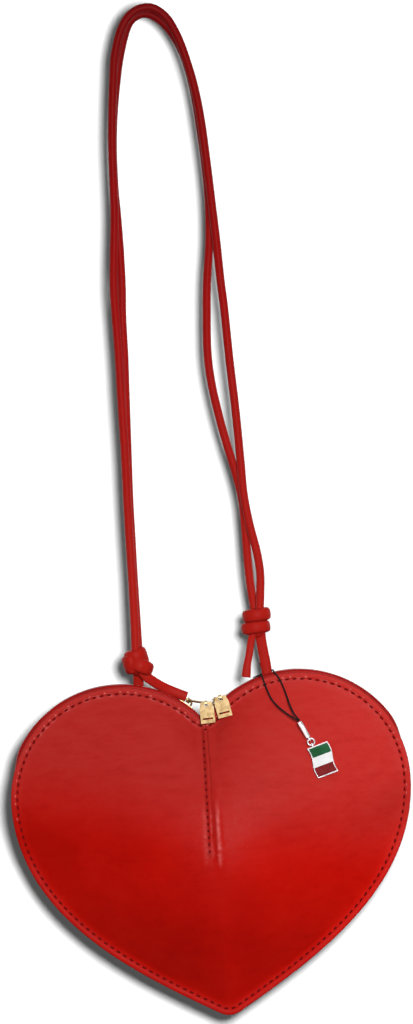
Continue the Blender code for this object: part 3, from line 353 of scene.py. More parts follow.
# Stage, and lamps as place, width and power
FLOOR_Z = -0.56
WALL_Y = 0.033
STAGE_HALF = 1.6
GLOWS = {"floor": 0.86, "wall": 0.03}
PAPER_TONES = ((0.3, (0.92, 0.92, 0.92)), (0.7, (0.94, 0.94, 0.94)))
WORLD_LEVEL = 0.07
KEY_PLACE = Vector((0.26, -2.4, -0.10))
LAMPS = {
    "key": (KEY_PLACE, 0.36, 41.0),
    "wall_key": (KEY_PLACE, 0.42, 30.0),
    "low_fill": (Vector((0.05, -1.5, -1.35)), 1.0, 7.5),
    "sheen": (Vector((0.33, -1.10, 0.75)), 0.90, 5.2),
    "left_side": (Vector((-1.6, 0.45, -0.1)), 0.8, 6.0),
    "right_side": (Vector((1.6, 0.45, -0.1)), 0.8, 6.0),
    "back": (Vector((0.3, 2.2, 0.2)), 0.9, 34.0),
}

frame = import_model()
nodes = frame["nodes"]


# Materials

def feed(tree, socket, value):
    """Links a socket to another node's, or sets its constant."""
    if isinstance(value, bpy.types.NodeSocket):
        tree.links.new(value, socket)
    else:
        socket.default_value = value


def node(tree, kind, *feeds, **settings):
    """A new node with its settings and its named sockets, and with its first sockets fed in their order."""
    made = tree.nodes.new(kind)
    for key, value in settings.items():
        name = key.replace("_", " ")
        if name in made.inputs:
            feed(tree, made.inputs[name], value)
        else:
            setattr(made, key, value)
    for socket, value in zip(made.inputs, feeds):
        feed(tree, socket, value)
    return made


def shader_of(name, base, roughness, metallic=0.0, **sockets):
    """A new material, with its node tree and its Principled shader."""
    made = bpy.data.materials.new(name)
    made.use_nodes = True
    made.diffuse_color = (*base, 1.0)
    tree = made.node_tree
    shader = tree.nodes["Principled BSDF"]
    shader.inputs["Base Color"].default_value = (*base, 1.0)
    shader.inputs["Roughness"].default_value = roughness
    shader.inputs["Metallic"].default_value = metallic
    for socket, value in sockets.items():
        shader.inputs[socket.replace("_", " ")].default_value = value
    return made, tree, shader


def coordinates(tree, scale=(1, 1, 1), turn=(0, 0, 0)):
    """Object coordinates, stretched and turned."""
    where = node(tree, "ShaderNodeTexCoord").outputs["Object"]
    return node(tree, "ShaderNodeMapping", Vector=where, Scale=scale, Rotation=turn).outputs["Vector"]


def noise_of(tree, vector, scale, detail=3.0, roughness=0.5):
    made = node(tree, "ShaderNodeTexNoise", Vector=vector, Scale=scale, Detail=detail, Roughness=roughness)
    return made.outputs["Fac"]


def cells(tree, vector, scale):
    return node(tree, "ShaderNodeTexVoronoi", Vector=vector, Scale=scale).outputs["Distance"]


def ramp(tree, value, stops):
    """The value turned into a colour through (place, colour) stops."""
    made = node(tree, "ShaderNodeValToRGB", Fac=value)
    band = made.color_ramp
    while len(band.elements) < len(stops):
        band.elements.new(0.5)
    for element, (place, colour) in zip(band.elements, stops):
        element.position = place
        element.color = (*colour, 1.0)
    return made.outputs["Color"]


def scaled(tree, value, low, high):
    """A 0 to 1 value moved to between low and high."""
    return node(tree, "ShaderNodeMapRange", Value=value, To_Min=low, To_Max=high).outputs["Result"]


def eased(tree, value, first, last, low, high):
    """A value that goes gently from low to high while another goes from first to last."""
    made = node(
        tree, "ShaderNodeMapRange", interpolation_type="SMOOTHSTEP", Value=value,
        From_Min=first, From_Max=last, To_Min=low, To_Max=high,
    )
    return made.outputs["Result"]


def combined(tree, first, second, share, how="MIX"):
    """Two colours mixed by a share."""
    made = node(tree, "ShaderNodeMix", data_type="RGBA", blend_type=how, Factor=share, A=first, B=second)
    return made.outputs["Result"]


def surfaced(tree, shader, colour, roughness=None, layers=()):
    """Links a shader's colour, its roughness and stacked (value, strength, distance) layers of bump."""
    tree.links.new(colour, shader.inputs["Base Color"])
    if roughness:
        tree.links.new(roughness, shader.inputs["Roughness"])
    normal = None
    for value, strength, distance in layers:
        made = node(tree, "ShaderNodeBump", Strength=strength, Distance=distance, Height=value)
        if normal:
            tree.links.new(normal, made.inputs["Normal"])
        normal = made.outputs["Normal"]
        tree.links.new(normal, shader.inputs["Normal"])


def with_painted_light(tree, vector, colour, top):
    """The colour with painted light: paler towards the top as a painted sheen, and brighter towards the
    right as painted light from that side.
    """
    height = node(tree, "ShaderNodeVectorMath", vector, (PAINTED_SHEEN_LEAN, 0.0, 1.0), operation="DOT_PRODUCT")
    share = eased(tree, height.outputs["Value"], PAINTED_SHEEN_LOW, PAINTED_SHEEN_HIGH, 0.0, 1.0)
    side = node(tree, "ShaderNodeSeparateXYZ", Vector=vector).outputs["X"]
    lift = eased(tree, side, PAINTED_LIGHT_LOW_X, PAINTED_LIGHT_HIGH_X, 1.0, PAINTED_LIGHT_LIFT)
    pale = combined(tree, colour, (*top, 1.0), share)
    return node(tree, "ShaderNodeVectorMath", pale, operation="SCALE", Scale=lift).outputs["Vector"]


def paint_glints_and_shade(tree, colour, fine):
    """Painted highlights, and painted shade in hollows, where the mesh's attributes say how much of each."""
    for attribute, tone, strength in (
        ("painted_highlight", PAINTED_HIGHLIGHT_TONE, scaled(tree, fine, PAINTED_HIGHLIGHT_SPECKLE, 1.0)), ("painted_shade", PAINTED_SHADE_TONE, 1.0),
    ):
        place = node(tree, "ShaderNodeAttribute", attribute_name=attribute).outputs["Fac"]
        share = node(tree, "ShaderNodeMath", place, strength, operation="MULTIPLY", use_clamp=True)
        colour = combined(tree, colour, (*tone, 1.0), share.outputs["Value"])
    return colour


def leather(name, base, dark, pale, roughness=0.42, gloss=0.06, top=None):
    """Smooth dyed leather: fine grain, soft creases and uneven dye. With top, it gets a painted sheen,
    painted shade and painted highlights.
    """
    made, tree, shader = shader_of(name, base, roughness, Specular_IOR_Level=gloss)
    vector = coordinates(tree)
    fine = noise_of(tree, vector, *DYE_GRAIN)
    tint = ramp(tree, noise_of(tree, vector, *DYE_CLOUDS), ((0.30, dark), (0.52, base), (0.78, pale)))
    mottle = ramp(tree, fine, ((0.35, dark), (0.65, base)))
    colour = combined(tree, tint, mottle, MOTTLE_SHARE)
    creases = noise_of(tree, coordinates(tree, CREASE_STRETCH, CREASE_TURN), *CREASES)
    streaks = noise_of(tree, coordinates(tree, STREAK_STRETCH, STREAK_TURN), *STREAKS)
    if top:
        # Painted sheen paler towards the top, and painted light brighter to the right
        colour = with_painted_light(tree, vector, colour, top)
        # Painted shade in the streaks' hollows and painted sheen on their crests
        colour = combined(tree, colour, ramp(tree, streaks, STREAK_PAINTED_SHADE_AND_SHEEN), 1.0, "MULTIPLY")
        # Painted highlights and painted shade where the mesh marks them
        colour = paint_glints_and_shade(tree, colour, fine)
    surfaced(tree, shader, colour, scaled(tree, fine, roughness - 0.09, roughness + 0.10), (
        (creases, 0.20, 0.0010), (streaks, 0.16, 0.0006), (cells(tree, vector, GRAIN_SCALE), 0.14, 0.00025),
        (noise_of(tree, vector, *PORES), 0.08, 0.00010),
    ))
    return made


def strap_leather():
    """Leather cord, darker up towards the crown."""
    made, tree, shader = shader_of("strap_leather", STRAP_PALE, 0.40, Specular_IOR_Level=0.035)
    vector = coordinates(tree)
    height = node(tree, "ShaderNodeSeparateXYZ", Vector=vector).outputs["Z"]
    rise = node(tree, "ShaderNodeMapRange", Value=height, From_Min=STRAP_LOW_Z, From_Max=STRAP_HIGH_Z)
    fine = noise_of(tree, coordinates(tree, (1, 1, 0.25)), *STRAP_GRAIN)
    mottle = ramp(tree, fine, ((0.3, (0.20, 0.002, 0.002)), (0.7, (0.45, 0.012, 0.009))))
    colour = combined(tree, ramp(tree, rise.outputs["Result"], STRAP_TONES), mottle, 0.14)
    surfaced(tree, shader, colour, scaled(tree, fine, 0.32, 0.50), (
        (noise_of(tree, coordinates(tree, (1, 1, 0.2)), *STRAP_CREASES), 0.18, 0.0005),
        (cells(tree, vector, STRAP_GRAIN_SCALE), 0.12, 0.0002),
    ))
    return made


def metal(name, base, dark, roughness):
    """Polished plating with faint wear and fine scratches."""
    made, tree, shader = shader_of(name, base, roughness, 1.0)
    wear = noise_of(tree, coordinates(tree), 380.0, 3.0)
    scratches = noise_of(tree, coordinates(tree, (1, 1, 0.08), (0.3, 0.5, 0)), 2400.0, 2.0)
    polish = scaled(tree, scratches, roughness - 0.04, roughness + 0.04)
    layers = ((scratches, 0.05, 0.00005), (wear, 0.08, 0.0001))
    surfaced(tree, shader, ramp(tree, wear, ((0.3, dark), (0.6, base))), polish, layers)
    return made


def cloth(name, base, dark, pitch):
    """Plain weave, its threads at a real pitch."""
    made, tree, shader = shader_of(name, base, 0.85)
    vector = coordinates(tree)
    ways = [
        node(tree, "ShaderNodeTexWave", Vector=vector, Scale=pitch, Distortion=0.4, bands_direction=way)
        for way in ("X", "Z")
    ]
    both = node(tree, "ShaderNodeMath", *(way.outputs["Fac"] for way in ways), operation="MULTIPLY")
    weave = both.outputs["Value"]
    surfaced(tree, shader, ramp(tree, weave, ((0.1, dark), (0.7, base))), layers=((weave, 0.5, 0.0003),))
    return made


def thread(name, base, dark):
    """Waxed sewing thread, twisted."""
    made, tree, shader = shader_of(name, base, 0.55, Specular_IOR_Level=0.08)
    vector = coordinates(tree, (1, 1, 1), (0.0, 0.7, 0.0))
    twist = node(tree, "ShaderNodeTexWave", Vector=vector, Scale=1100.0, Distortion=1.0).outputs["Fac"]
    surfaced(tree, shader, ramp(tree, twist, ((0.1, dark), (0.8, base))), layers=((twist, 0.4, 0.0001),))
    return made


def enamel(name, base, dark):
    """Glossy enamel with a faint cloud in it."""
    made, tree, shader = shader_of(name, base, 0.12, Specular_IOR_Level=0.12)
    cloud = noise_of(tree, coordinates(tree), 300.0, 3.0)
    surfaced(tree, shader, ramp(tree, cloud, ((0.2, dark), (0.6, base))), scaled(tree, cloud, 0.08, 0.16))
    return made


# The top colour is a painted sheen, paler towards the bag's top
PANEL = leather(
    "panel_leather", (0.52, 0.0046, 0.0016), (0.455, 0.0035, 0.0013), (0.575, 0.0070, 0.0031),
    gloss=0.042, top=(0.465, 0.020, 0.016),
)
# The panels' red leather, its colour darkened as painted shade where the strips face up; the strap loops and
# tabs use it too
GUSSET_SHADED_LEATHER = leather(
    "gusset_leather_painted_shade", (0.38, 0.005, 0.003), (0.27, 0.003, 0.002), (0.46, 0.010, 0.008), 0.40, gloss=0.07
)
# Pale leather for the puckers between stitches: painted highlights where they swell
PUCKER_GLINT_LEATHER = leather(
    "pucker_painted_highlight", (0.68, 0.09, 0.075), (0.50, 0.03, 0.024), (0.74, 0.14, 0.12), 0.34, gloss=0.35
)
EDGE = leather("painted_edge", (0.20, 0.003, 0.005), (0.13, 0.002, 0.003), (0.28, 0.006, 0.008), 0.45)
STRAP = strap_leather()
CUT = leather("cut_end", (0.26, 0.03, 0.02), (0.18, 0.01, 0.01), (0.34, 0.06, 0.04), 0.75)
THREAD = thread("seam_thread", (0.22, 0.0015, 0.002), (0.12, 0.001, 0.001))
GOLD = metal("gold_plating", (0.43, 0.305, 0.150), (0.25, 0.16, 0.070), 0.30)
SILVER = metal("silver_plating", (0.70, 0.68, 0.69), (0.42, 0.41, 0.44), 0.09)
LINING = cloth("lining_cloth", (0.12, 0.014, 0.014), (0.05, 0.006, 0.006), 700.0)
TAPE = cloth("tape_cloth", (0.26, 0.008, 0.010), (0.12, 0.003, 0.004), 900.0)
WAXED = thread("waxed_cord", (0.018, 0.012, 0.012), (0.004, 0.003, 0.003))
GREEN = enamel("green_enamel", (0.001, 0.105, 0.026), (0.001, 0.070, 0.016))
WHITE = enamel("white_enamel", (0.95, 0.95, 0.95), (0.86, 0.86, 0.87))
MAROON = enamel("maroon_enamel", (0.235, 0.002, 0.004), (0.16, 0.001, 0.003))


# Shapes of the heart

def smoothstep(value):
    value = min(1.0, max(0.0, value))
    return value * value * (3 - 2 * value)


def within(value, start, rise, end, fall):
    """1 inside a span, going gently down to 0 at its start and its end."""
    return smoothstep((value - start) / rise) * smoothstep((end - value) / fall)


def lobe_point(angle, rise=0.0):
    """A point of the right lobe's arc, its angle counted from +X, and the way out of the heart there."""
    out = Vector((math.cos(angle), 0, math.sin(angle)))
    return Vector((LOBE_X, 0, LOBE_Z)) + out * (LOBE_R + rise), out


def track_point(angle):
    """A point of the zip's line, which sinks below the panels' edge towards its end."""
    return lobe_point(angle, -TRACK_SINK * (1 - smoothstep((angle - TRACK_END) / TRACK_FADE)))


def notch_angle():
    """The angle on the right lobe's arc at which the notch's round begins."""
    return math.pi - math.acos(LOBE_X / (LOBE_R + NOTCH_R))


def notch_stations(count):
    """Places and outward ways along the notch's round, from its lowest point to the right lobe."""
    height = math.sqrt((LOBE_R + NOTCH_R) ** 2 - LOBE_X**2)
    middle = Vector((0, 0, LOBE_Z + height))
    turn = math.pi / 2 - (math.pi - notch_angle())
    found = []
    for k in range(count):
        angle = turn * k / count
        out = Vector((-math.sin(angle), 0, math.cos(angle)))
        found.append((middle - out * NOTCH_R, out))
    return found


def side_stations(count):
    """Places and outward ways down the right side, from the lobe's widest point to the tip's round."""
    tip = LOBE_Z - TIP_DROP
    first = Vector((LOBE_X + LOBE_R, 0, LOBE_Z))
    last = Vector((TIP_R * math.sin(TIP_SLOPE), 0, tip + TIP_R * (1 - math.cos(TIP_SLOPE))))
    second = first - Vector((0, 0, SIDE_TOP_HANDLE))
    third = last + Vector((math.cos(TIP_SLOPE), 0, math.sin(TIP_SLOPE))) * SIDE_TIP_HANDLE
    found = []
    for k in range(1, count + 1):
        t = k / count
        u = 1 - t
        where = u**3 * first + 3 * u * u * t * second + 3 * u * t * t * third + t**3 * last
        along = u * u * (second - first) + 2 * u * t * (third - second) + t * t * (last - third)
        along.normalize()
        found.append((where, Vector((-along.z, 0, along.x))))
    return found


def tip_stations(count):
    """Places and outward ways round the right half of the tip, to its lowest point."""
    centre = Vector((0, 0, LOBE_Z - TIP_DROP + TIP_R))
    found = []
    for k in range(1, count + 1):
        angle = TIP_SLOPE * (1 - k / count)
        out = Vector((math.sin(angle), 0, -math.cos(angle)))
        found.append((centre + out * TIP_R, out))
    return found


def flipped(vector):
    """The same on the left of the bag."""
    return Vector((-vector.x, vector.y, vector.z))


def whole_outline():
    """Places and outward ways all round the heart's edge, closer together near the notch."""
    right = notch_stations(NOTCH_STATIONS)
    for k in range(LOBE_STATIONS + 1):
        right.append(lobe_point(notch_angle() * (1 - (k / LOBE_STATIONS) ** LOBE_CROWDING)))
    right += side_stations(SIDE_STATIONS) + tip_stations(TIP_STATIONS)
    left = [(flipped(p), flipped(out)) for p, out in right[1:-1]]
    return right + left[::-1]


def rim_half(z):
    """Half the bag's thickness at its edge: the gusset's on top, and closed at the seam below."""
    seam = LEATHER_T + CLEAR / 2
    share = smoothstep((z - LOBE_Z - GUSSET_FADE_TOP + GUSSET_FADE_DEPTH) / GUSSET_FADE_DEPTH)
    return seam + (RIM_HALF - seam) * share


# Building helpers

def dressed(obj, body, look, slot, *replaced):
    """Gives a piece its material, the body it rides on and the frame's solids it stands for; the slot is not
    used.
    """
    obj.data.materials.clear()
    obj.data.materials.append(look)
    if obj.type == "MESH":
        obj.data.shade_smooth()
    obj.visible_diffuse = False
    if body:
        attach(obj, body)
    if replaced:
        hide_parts(*replaced)


def placed(name, data):
    """A new object in the scene."""
    obj = bpy.data.objects.new(name, data)
    bpy.context.scene.collection.objects.link(obj)
    return obj


def mesh_piece(name, points, faces):
    mesh = bpy.data.meshes.new(name)
    mesh.from_pydata([tuple(p) for p in points], [], faces)
    bm = bmesh.new()
    bm.from_mesh(mesh)
    bmesh.ops.recalc_face_normals(bm, faces=bm.faces)
    bm.to_mesh(mesh)
    bm.free()
    return placed(name, mesh)


def smooth_route(points, count):
    """Evenly spaced points along a smooth curve through the route's own points."""
    points = [Vector(p) for p in points]
    ends = [2 * points[0] - points[1], *points, 2 * points[-1] - points[-2]]
    fine = []
    for a, b, c, d in zip(ends, ends[1:], ends[2:], ends[3:]):
        for step in range(ROUTE_STEPS):
            t = step / ROUTE_STEPS
            fine.append(
                0.5 * (2 * b + t * (c - a) + t * t * (2 * a - 5 * b + 4 * c - d)
                       + t * t * t * (3 * b - a - 3 * c + d))
            )
    fine.append(points[-1])
    return spaced(fine, count)


def spaced(fine, count):
    """Points at even distances along a fine line."""
    lengths = [0.0]
    for a, b in zip(fine, fine[1:]):
        lengths.append(lengths[-1] + (b - a).length)
    found, at = [], 0
    for k in range(count):
        want = lengths[-1] * k / (count - 1)
        while at < len(fine) - 2 and lengths[at + 1] < want:
            at += 1
        span = lengths[at + 1] - lengths[at]
        found.append(fine[at].lerp(fine[at + 1], (want - lengths[at]) / span if span else 0.0))
    return found


def line_length(points):
    return sum((b - a).length for a, b in zip(points, points[1:]))


def way_at(points, k):
    """The line's way near one of its points."""
    return (points[min(k + 1, len(points) - 1)] - points[max(k - 1, 0)]).normalized()


def ring_faces(starts, count):
    """Faces between rings of points, each ring given by the number of its first point."""
    return [
        [a + i, a + (i + 1) % count, b + (i + 1) % count, b + i]
        for a, b in zip(starts, starts[1:]) for i in range(count)
    ]


def capped_faces(start, last, count):
    """Faces over rings of points between two end points, given the numbers of those ends."""
    faces = []
    for i in range(count):
        j = (i + 1) % count
        faces.append([start, start + 1 + j, start + 1 + i])
        for a in range(start + 1, last - count, count):
            faces.append([a + i, a + j, a + count + j, a + count + i])
        faces.append([last - count + i, last - count + j, last])
    return faces


def swept(name, sections):
    """A skin over sections of points, closed at both ends."""
    count = len(sections[0])
    points = [p for section in sections for p in section]
    faces = ring_faces(range(0, len(points), count), count)
    faces.append(list(range(count)))
    faces.append(list(range(len(points) - count, len(points))))
    return mesh_piece(name, points, faces)


def squared(angle, wide_power, thick_power):
    """Cosine and sine of an angle, which powers below 1 push out towards a square."""
    c, s = math.cos(angle), math.sin(angle)
    return math.copysign(abs(c) ** wide_power, c), math.copysign(abs(s) ** thick_power, s)


def cord_sections(route, half_wide, half_thick, sides, power=1.0, wide_way=None, taper=None):
    """Round or flattened sections along a route, the wide way kept as near as can be to one direction."""
    sections = []
    wide = wide_way or Vector((1, 0, 0))
    for k, where in enumerate(route):
        along = way_at(route, k)
        across = (wide - along * wide.dot(along)).normalized()
        up = along.cross(across)
        if wide_way is None:
            wide = across
        scale = taper(k / (len(route) - 1)) if taper else 1.0
        ring = []
        for i in range(sides):
            c, s = squared(math.tau * i / sides, power, power)
            ring.append(where + (across * c * half_wide + up * s * half_thick) * scale)
        sections.append(ring)
    return sections


# Panels

def pushed(groove, width):
    """1 in the middle of a groove, falling off to both sides."""
    return math.exp(-(groove / width) ** 2)


def dart_place(z):
    """How far up the dart a height is, as a share, and the x of the dart's line there."""
    share = (z - DART_END.z) / (DART_TOP.z - DART_END.z)
    return share, DART_END.x + (DART_TOP.x - DART_END.x) * share


def dart_shift(x, z):
    """How far the front panel stands out or in near its dart, seen at x and z."""
    share, line = dart_place(z)
    line += DART_WOBBLE * math.sin(3.0 * share)
    groove = DART_DIP * pushed(x - line, DART_DIP_WIDTH) * within(share, *DART_GROOVE_SPAN)
    crest = line + DART_RIDGE_SHIFT * (1.1 - 0.35 * share)
    return DART_RIDGE * pushed(x - crest, DART_RIDGE_WIDTH) * within(share, *DART_RIDGE_SPAN) - groove


def waviness(where):
    """Slow hollows of soft leather, in metres, nearly all of them inwards."""
    slow = noise.noise(Vector((where.x * 16 + 3, where.y * 9, where.z * 15)))
    fine = noise.noise(Vector((where.x * 44, where.y * 20 + 5, where.z * 46)))
    return -SLOW_HOLLOW * (0.5 + slow) - FINE_HOLLOW * (0.6 + fine)


def panel_surface(side):
    """Rings of places over a panel, from its inner edge round the cut edge to the fullest place."""
    peak = Vector((0, 0, LOBE_Z - DART_END_DROP))
    edge = whole_outline()
    rings = []
    corner = edge[0][0].z
    for inset, rise in EDGE_PROFILE:
        dip = SEAM_DIP * pushed(inset - SEAM_INSET, SEAM_DIP_WIDTH) if rise > FACE_RISE else 0.0
        ring = []
        for where, out in edge:
            point = where - out * inset
            ring.append(Vector((point.x, side * (rim_half(where.z) + rise - dip), point.z)))
        ring[0] = Vector((0, ring[0].y, corner - inset / math.sin(math.pi - notch_angle())))
        rings.append(ring)
    inner = rings[-1]
    for k in range(1, DOME_RINGS):
        share = 1 - k / DOME_RINGS
        height = (1 - share * share) ** DOME_POWER
        ring = []
        for start in inner:
            ray = Vector((start.x, 0, start.z)) - peak
            reach = share * (DOME_ROUND_R + (ray.length - DOME_ROUND_R) * share)
            flat = peak + ray.normalized() * reach
            depth = abs(start.y) + (DEPTH_HALF - abs(start.y)) * height
            ring.append(Vector((flat.x, side * depth, flat.z)))
        rings.append(ring)
    return rings, Vector((0, side * DEPTH_HALF, peak.z))


def smoothed_depth(rings):
    """Evens the dome's depth from ray to ray, most where the outline turns sharply below."""
    around = len(rings[0])
    for k in range(len(EDGE_PROFILE), len(rings)):
        share = (k - len(EDGE_PROFILE)) / DOME_RINGS
        depths = [p.y for p in rings[k]]
        for _ in range(int(SMOOTH_ROUNDS * smoothstep(share * 3.0))):
            depths = [
                0.25 * depths[i - 1] + 0.5 * depths[i] + 0.25 * depths[(i + 1) % around]
                for i in range(around)
            ]
        for point, depth in zip(rings[k], depths):
            point.y = depth


def painted_light_at(where, ring, side):
    """How much painted highlight and painted shade the leather gets at a place: along the seam's groove and
    by the dart.
    """
    speck = noise.noise(Vector((where.x, 0.0, where.z)) * SPECK_SCALE)
    from_seam = abs(ring - SEAM_RING)
    highlight_share = shade_share = 0.0
    # Painted highlights on the seam's upper part, painted shade in its groove
    if from_seam <= 2:
        high = smoothstep((where.z - PAINTED_HIGHLIGHT_LOW_Z) / PAINTED_HIGHLIGHT_FADE)
        highlight_share = high * smoothstep((speck - 0.05) / 0.35) * 0.55
    if from_seam <= 1:
        shade_share = 0.12
    # By the dart: painted highlights on its ridge and beside its stitches, painted shade in the stitches'
    # groove and beside the ridge
    if side < 0:
        share, line = dart_place(where.z)
        low = within(share, *DART_HIGHLIGHT_SPAN)
        crest = line + DART_RIDGE_SHIFT
        stitch = where.x - line - DART_STITCH_SHIFT
        highlight_share += low * pushed(where.x - crest, CREST_HIGHLIGHT_WIDTH) * (0.75 + speck)
        beside = sum(pushed(stitch - shift, width) for shift, width in BESIDE_STITCH_HIGHLIGHTS)
        highlight_share += 0.45 * low * (0.6 + speck) * beside
        shade_share += 0.55 * within(share, *DART_SHADE_SPAN) * pushed(stitch, PAINTED_SHADE_WIDTH)
        shade_share += 0.35 * low * pushed(where.x - crest + PAINTED_SHADE_SHIFT, PAINTED_SHADE_WIDTH)
    return min(1.0, max(0.0, highlight_share)), min(1.0, shade_share)


def panel_piece(name, side, replaced):
    """One dished panel, its cut edge painted, with how much painted highlight and painted shade it gets at
    each point.
    """
    rings, peak = panel_surface(side)
    smoothed_depth(rings)
    around = len(rings[0])
    points = [p for ring in rings for p in ring] + [peak]
    faces = ring_faces(range(0, len(points) - 1, around), around)
    last = len(points) - 1 - around
    for i in range(around):
        faces.append([last + i, last + (i + 1) % around, len(points) - 1])
    obj = mesh_piece(name, points, faces)
    mesh = obj.data
    # Point attributes for painted highlights and painted shade
    painted_highlight = mesh.attributes.new("painted_highlight", "FLOAT", "POINT")
    painted_shade = mesh.attributes.new("painted_shade", "FLOAT", "POINT")
    shifts = []
    for index, vertex in enumerate(mesh.vertices):
        ring = index // around
        shift = waviness(vertex.co) * smoothstep((ring - FACE_RING) / SOFT_RINGS)
        if side < 0:
            shift += dart_shift(vertex.co.x, vertex.co.z)
        shifts.append(shift if ring >= CUT_RINGS else 0.0)
        if ring >= FACE_RING:
            painted_highlight.data[index].value, painted_shade.data[index].value = painted_light_at(vertex.co, ring, side)
    normals = [v.normal.copy() for v in mesh.vertices]
    for vertex, normal, shift in zip(mesh.vertices, normals, shifts):
        if normal.y * side < 0:
            normal = -normal
        vertex.co += normal * shift
    mesh.update()
    dressed(obj, "bag", PANEL, "leather", replaced)
    mesh.materials.append(EDGE)
    for polygon in mesh.polygons:
        if polygon.index < CUT_RINGS * around:
            polygon.material_index = 1
    return obj


def tree_of(obj):
    bm = bmesh.new()
    bm.from_mesh(obj.data)
    found = BVHTree.FromBMesh(bm)
    bm.free()
    return found


SHELLS = {
    -1: tree_of(panel_piece("front_leather", -1, "front_panel")),
    1: tree_of(panel_piece("back_leather", 1, "back_panel")),
}


def surface_at(x, z, side=-1):
    """The place and the normal of the panel's outer face seen straight on at x and z."""
    tree = SHELLS[side]
    where, normal, _, _ = tree.ray_cast(Vector((x, side * OUTSIDE_Y, z)), Vector((0, -side, 0)))
    if where is None:
        where, normal, _, _ = tree.find_nearest(Vector((x, side * RIM_HALF, z)))
    if normal.y * side < 0:
        normal = -normal
    return where, normal


# Seams

def capsule(points, faces, where, along, up, length, radius):
    """Adds one stitch, a rounded bead along one way that lies flat on the leather."""
    start = len(points)
    across = along.cross(up).normalized()
    up = across.cross(along).normalized()
    for place, share in STITCH_STATIONS:
        middle = where + along * place * length / 2 - up * radius * 0.5 * abs(place) ** 3
        for i in range(STITCH_SIDES if share else 1):
            angle = math.tau * i / STITCH_SIDES
            ring = across * math.cos(angle) + up * math.sin(angle) * STITCH_FLAT
            points.append(middle + ring * radius * share)
    faces += capped_faces(start, len(points) - 1, STITCH_SIDES)


def beads(name, places, look, length, radius):
    """Small rounded beads along a seam, as one piece."""
    points, faces = [], []
    for where, along, up in places:
        capsule(points, faces, where, along, up, length, radius)
    dressed(mesh_piece(name, points, faces), "bag", look, "leather")


def edge_seam(side):
    """Places along the sewn line inside a panel's edge, at an even pitch."""
    line = [where - out * SEAM_INSET for where, out in whole_outline()]
    line[0] = Vector((0, 0, line[0].z - SEAM_INSET * (1 / math.sin(math.pi - notch_angle()) - 1)))
    line.append(line[0])
    count = int(line_length(line) / SEAM_PITCH)
    found = []
    even = spaced(line, count + 1)[:-1]
    for k, where in enumerate(even):
        along = (even[(k + 1) % count] - even[k - 1]).normalized()
        place, up = surface_at(where.x, where.z, side)
        along = (along - up * along.dot(up)).normalized()
        along = (along + along.cross(up) * STITCH_SLANT * side).normalized()
        found.append((place + up * STITCH_R * STITCH_RAISE, along, up))
    return found


def puckers(seam):
    """Places where the leather swells between stitches, on the edge's side of a front seam."""
    found = []
    for k, (where, along, up) in enumerate(seam):
        following = seam[(k + 1) % len(seam)][0]
        chance = noise.noise(Vector((where.x * 300, 0.0, where.z * 300)))
        if where.z < PUCKER_LOW_Z or chance < PUCKER_CHANCE:
            continue
        outward = along.cross(up).normalized()
        if outward.dot(where - Vector((math.copysign(LOBE_X, where.x), where.y, LOBE_Z))) < 0:
            outward.negate()
        middle = (where + following) / 2 + outward * PUCKER_SHIFT
        place, lifted = surface_at(middle.x, middle.z)
        found.append((place - lifted * PUCKER_R * PUCKER_SINK, along, lifted))
    return found


def dart_seam():
    """Places down the dart's sewn line."""
    found = []
    for k in range(int((DART_STITCH_TOP - DART_STITCH_END) / DART_PITCH) + 1):
        z = DART_STITCH_TOP - k * DART_PITCH
        x = dart_place(z)[1] + DART_STITCH_SHIFT
        place, up = surface_at(x, z)
        below, _ = surface_at(x, z - 0.001)
        found.append((place + up * STITCH_R * STITCH_RAISE, (below - place).normalized(), up))
    return found


front_seam = edge_seam(-1)
beads("front_edge_stitches", front_seam, THREAD, STITCH_LENGTH, STITCH_R)
# The puckers are painted pale, as painted highlights
beads("front_edge_puckers", puckers(front_seam), PUCKER_GLINT_LEATHER, PUCKER_LENGTH, PUCKER_R)
beads("back_edge_stitches", edge_seam(1), THREAD, STITCH_LENGTH, STITCH_R)
beads("dart_stitches", dart_seam(), THREAD, DART_STITCH_LENGTH, STITCH_R)


# Gusset and zip

def track_line(last, count):
    """Fine stations from the left lobe's end through the notch to the right lobe's."""
    right = notch_stations(NOTCH_STATIONS)
    top = notch_angle()
    for k in range(count + 1):
        right.append(track_point(top + (last - top) * k / count))
    left = [(flipped(p), flipped(out)) for p, out in right[1:]]
    return left[::-1] + right


def gusset_section():
    """The strip's rounded section, from the panel's inside over the crown to the zip."""
    outer = RIM_HALF - LEATHER_T - CLEAR
    knots = []
    for across, above in GUSSET_KNOTS:
        height = above * (STRIP_CROWN if above > 0 else STRIP_FLANGE)
        knots.append(Vector((STRIP_INNER + (outer - STRIP_INNER) * across, height, 0)))
    top = smooth_route(knots, GUSSET_POINTS)
    under = []
    for k, point in enumerate(top):
        along = way_at(top, k)
        under.append((point.x - along.y * STRIP_T, point.y + along.x * STRIP_T))
    return [(p.x, p.y) for p in top] + under[::-1]


def gusset(name, side, replaced):
    """One leather strip beside the zip, a little uneven."""
    section = gusset_section()
    obj = swept(name, [
        [where + out * above + Vector((0, side * across, 0)) for across, above in section]
        for where, out in track_line(TRACK_END, GUSSET_STATIONS)
    ])
    for vertex in obj.data.vertices:
        vertex.co.z += GUSSET_RIPPLE * noise.noise(vertex.co * 60)
    dressed(obj, "bag", GUSSET_SHADED_LEATHER, "leather", replaced)


gusset("front_gusset", -1, "gusset_front")
gusset("back_gusset", 1, "gusset_back")


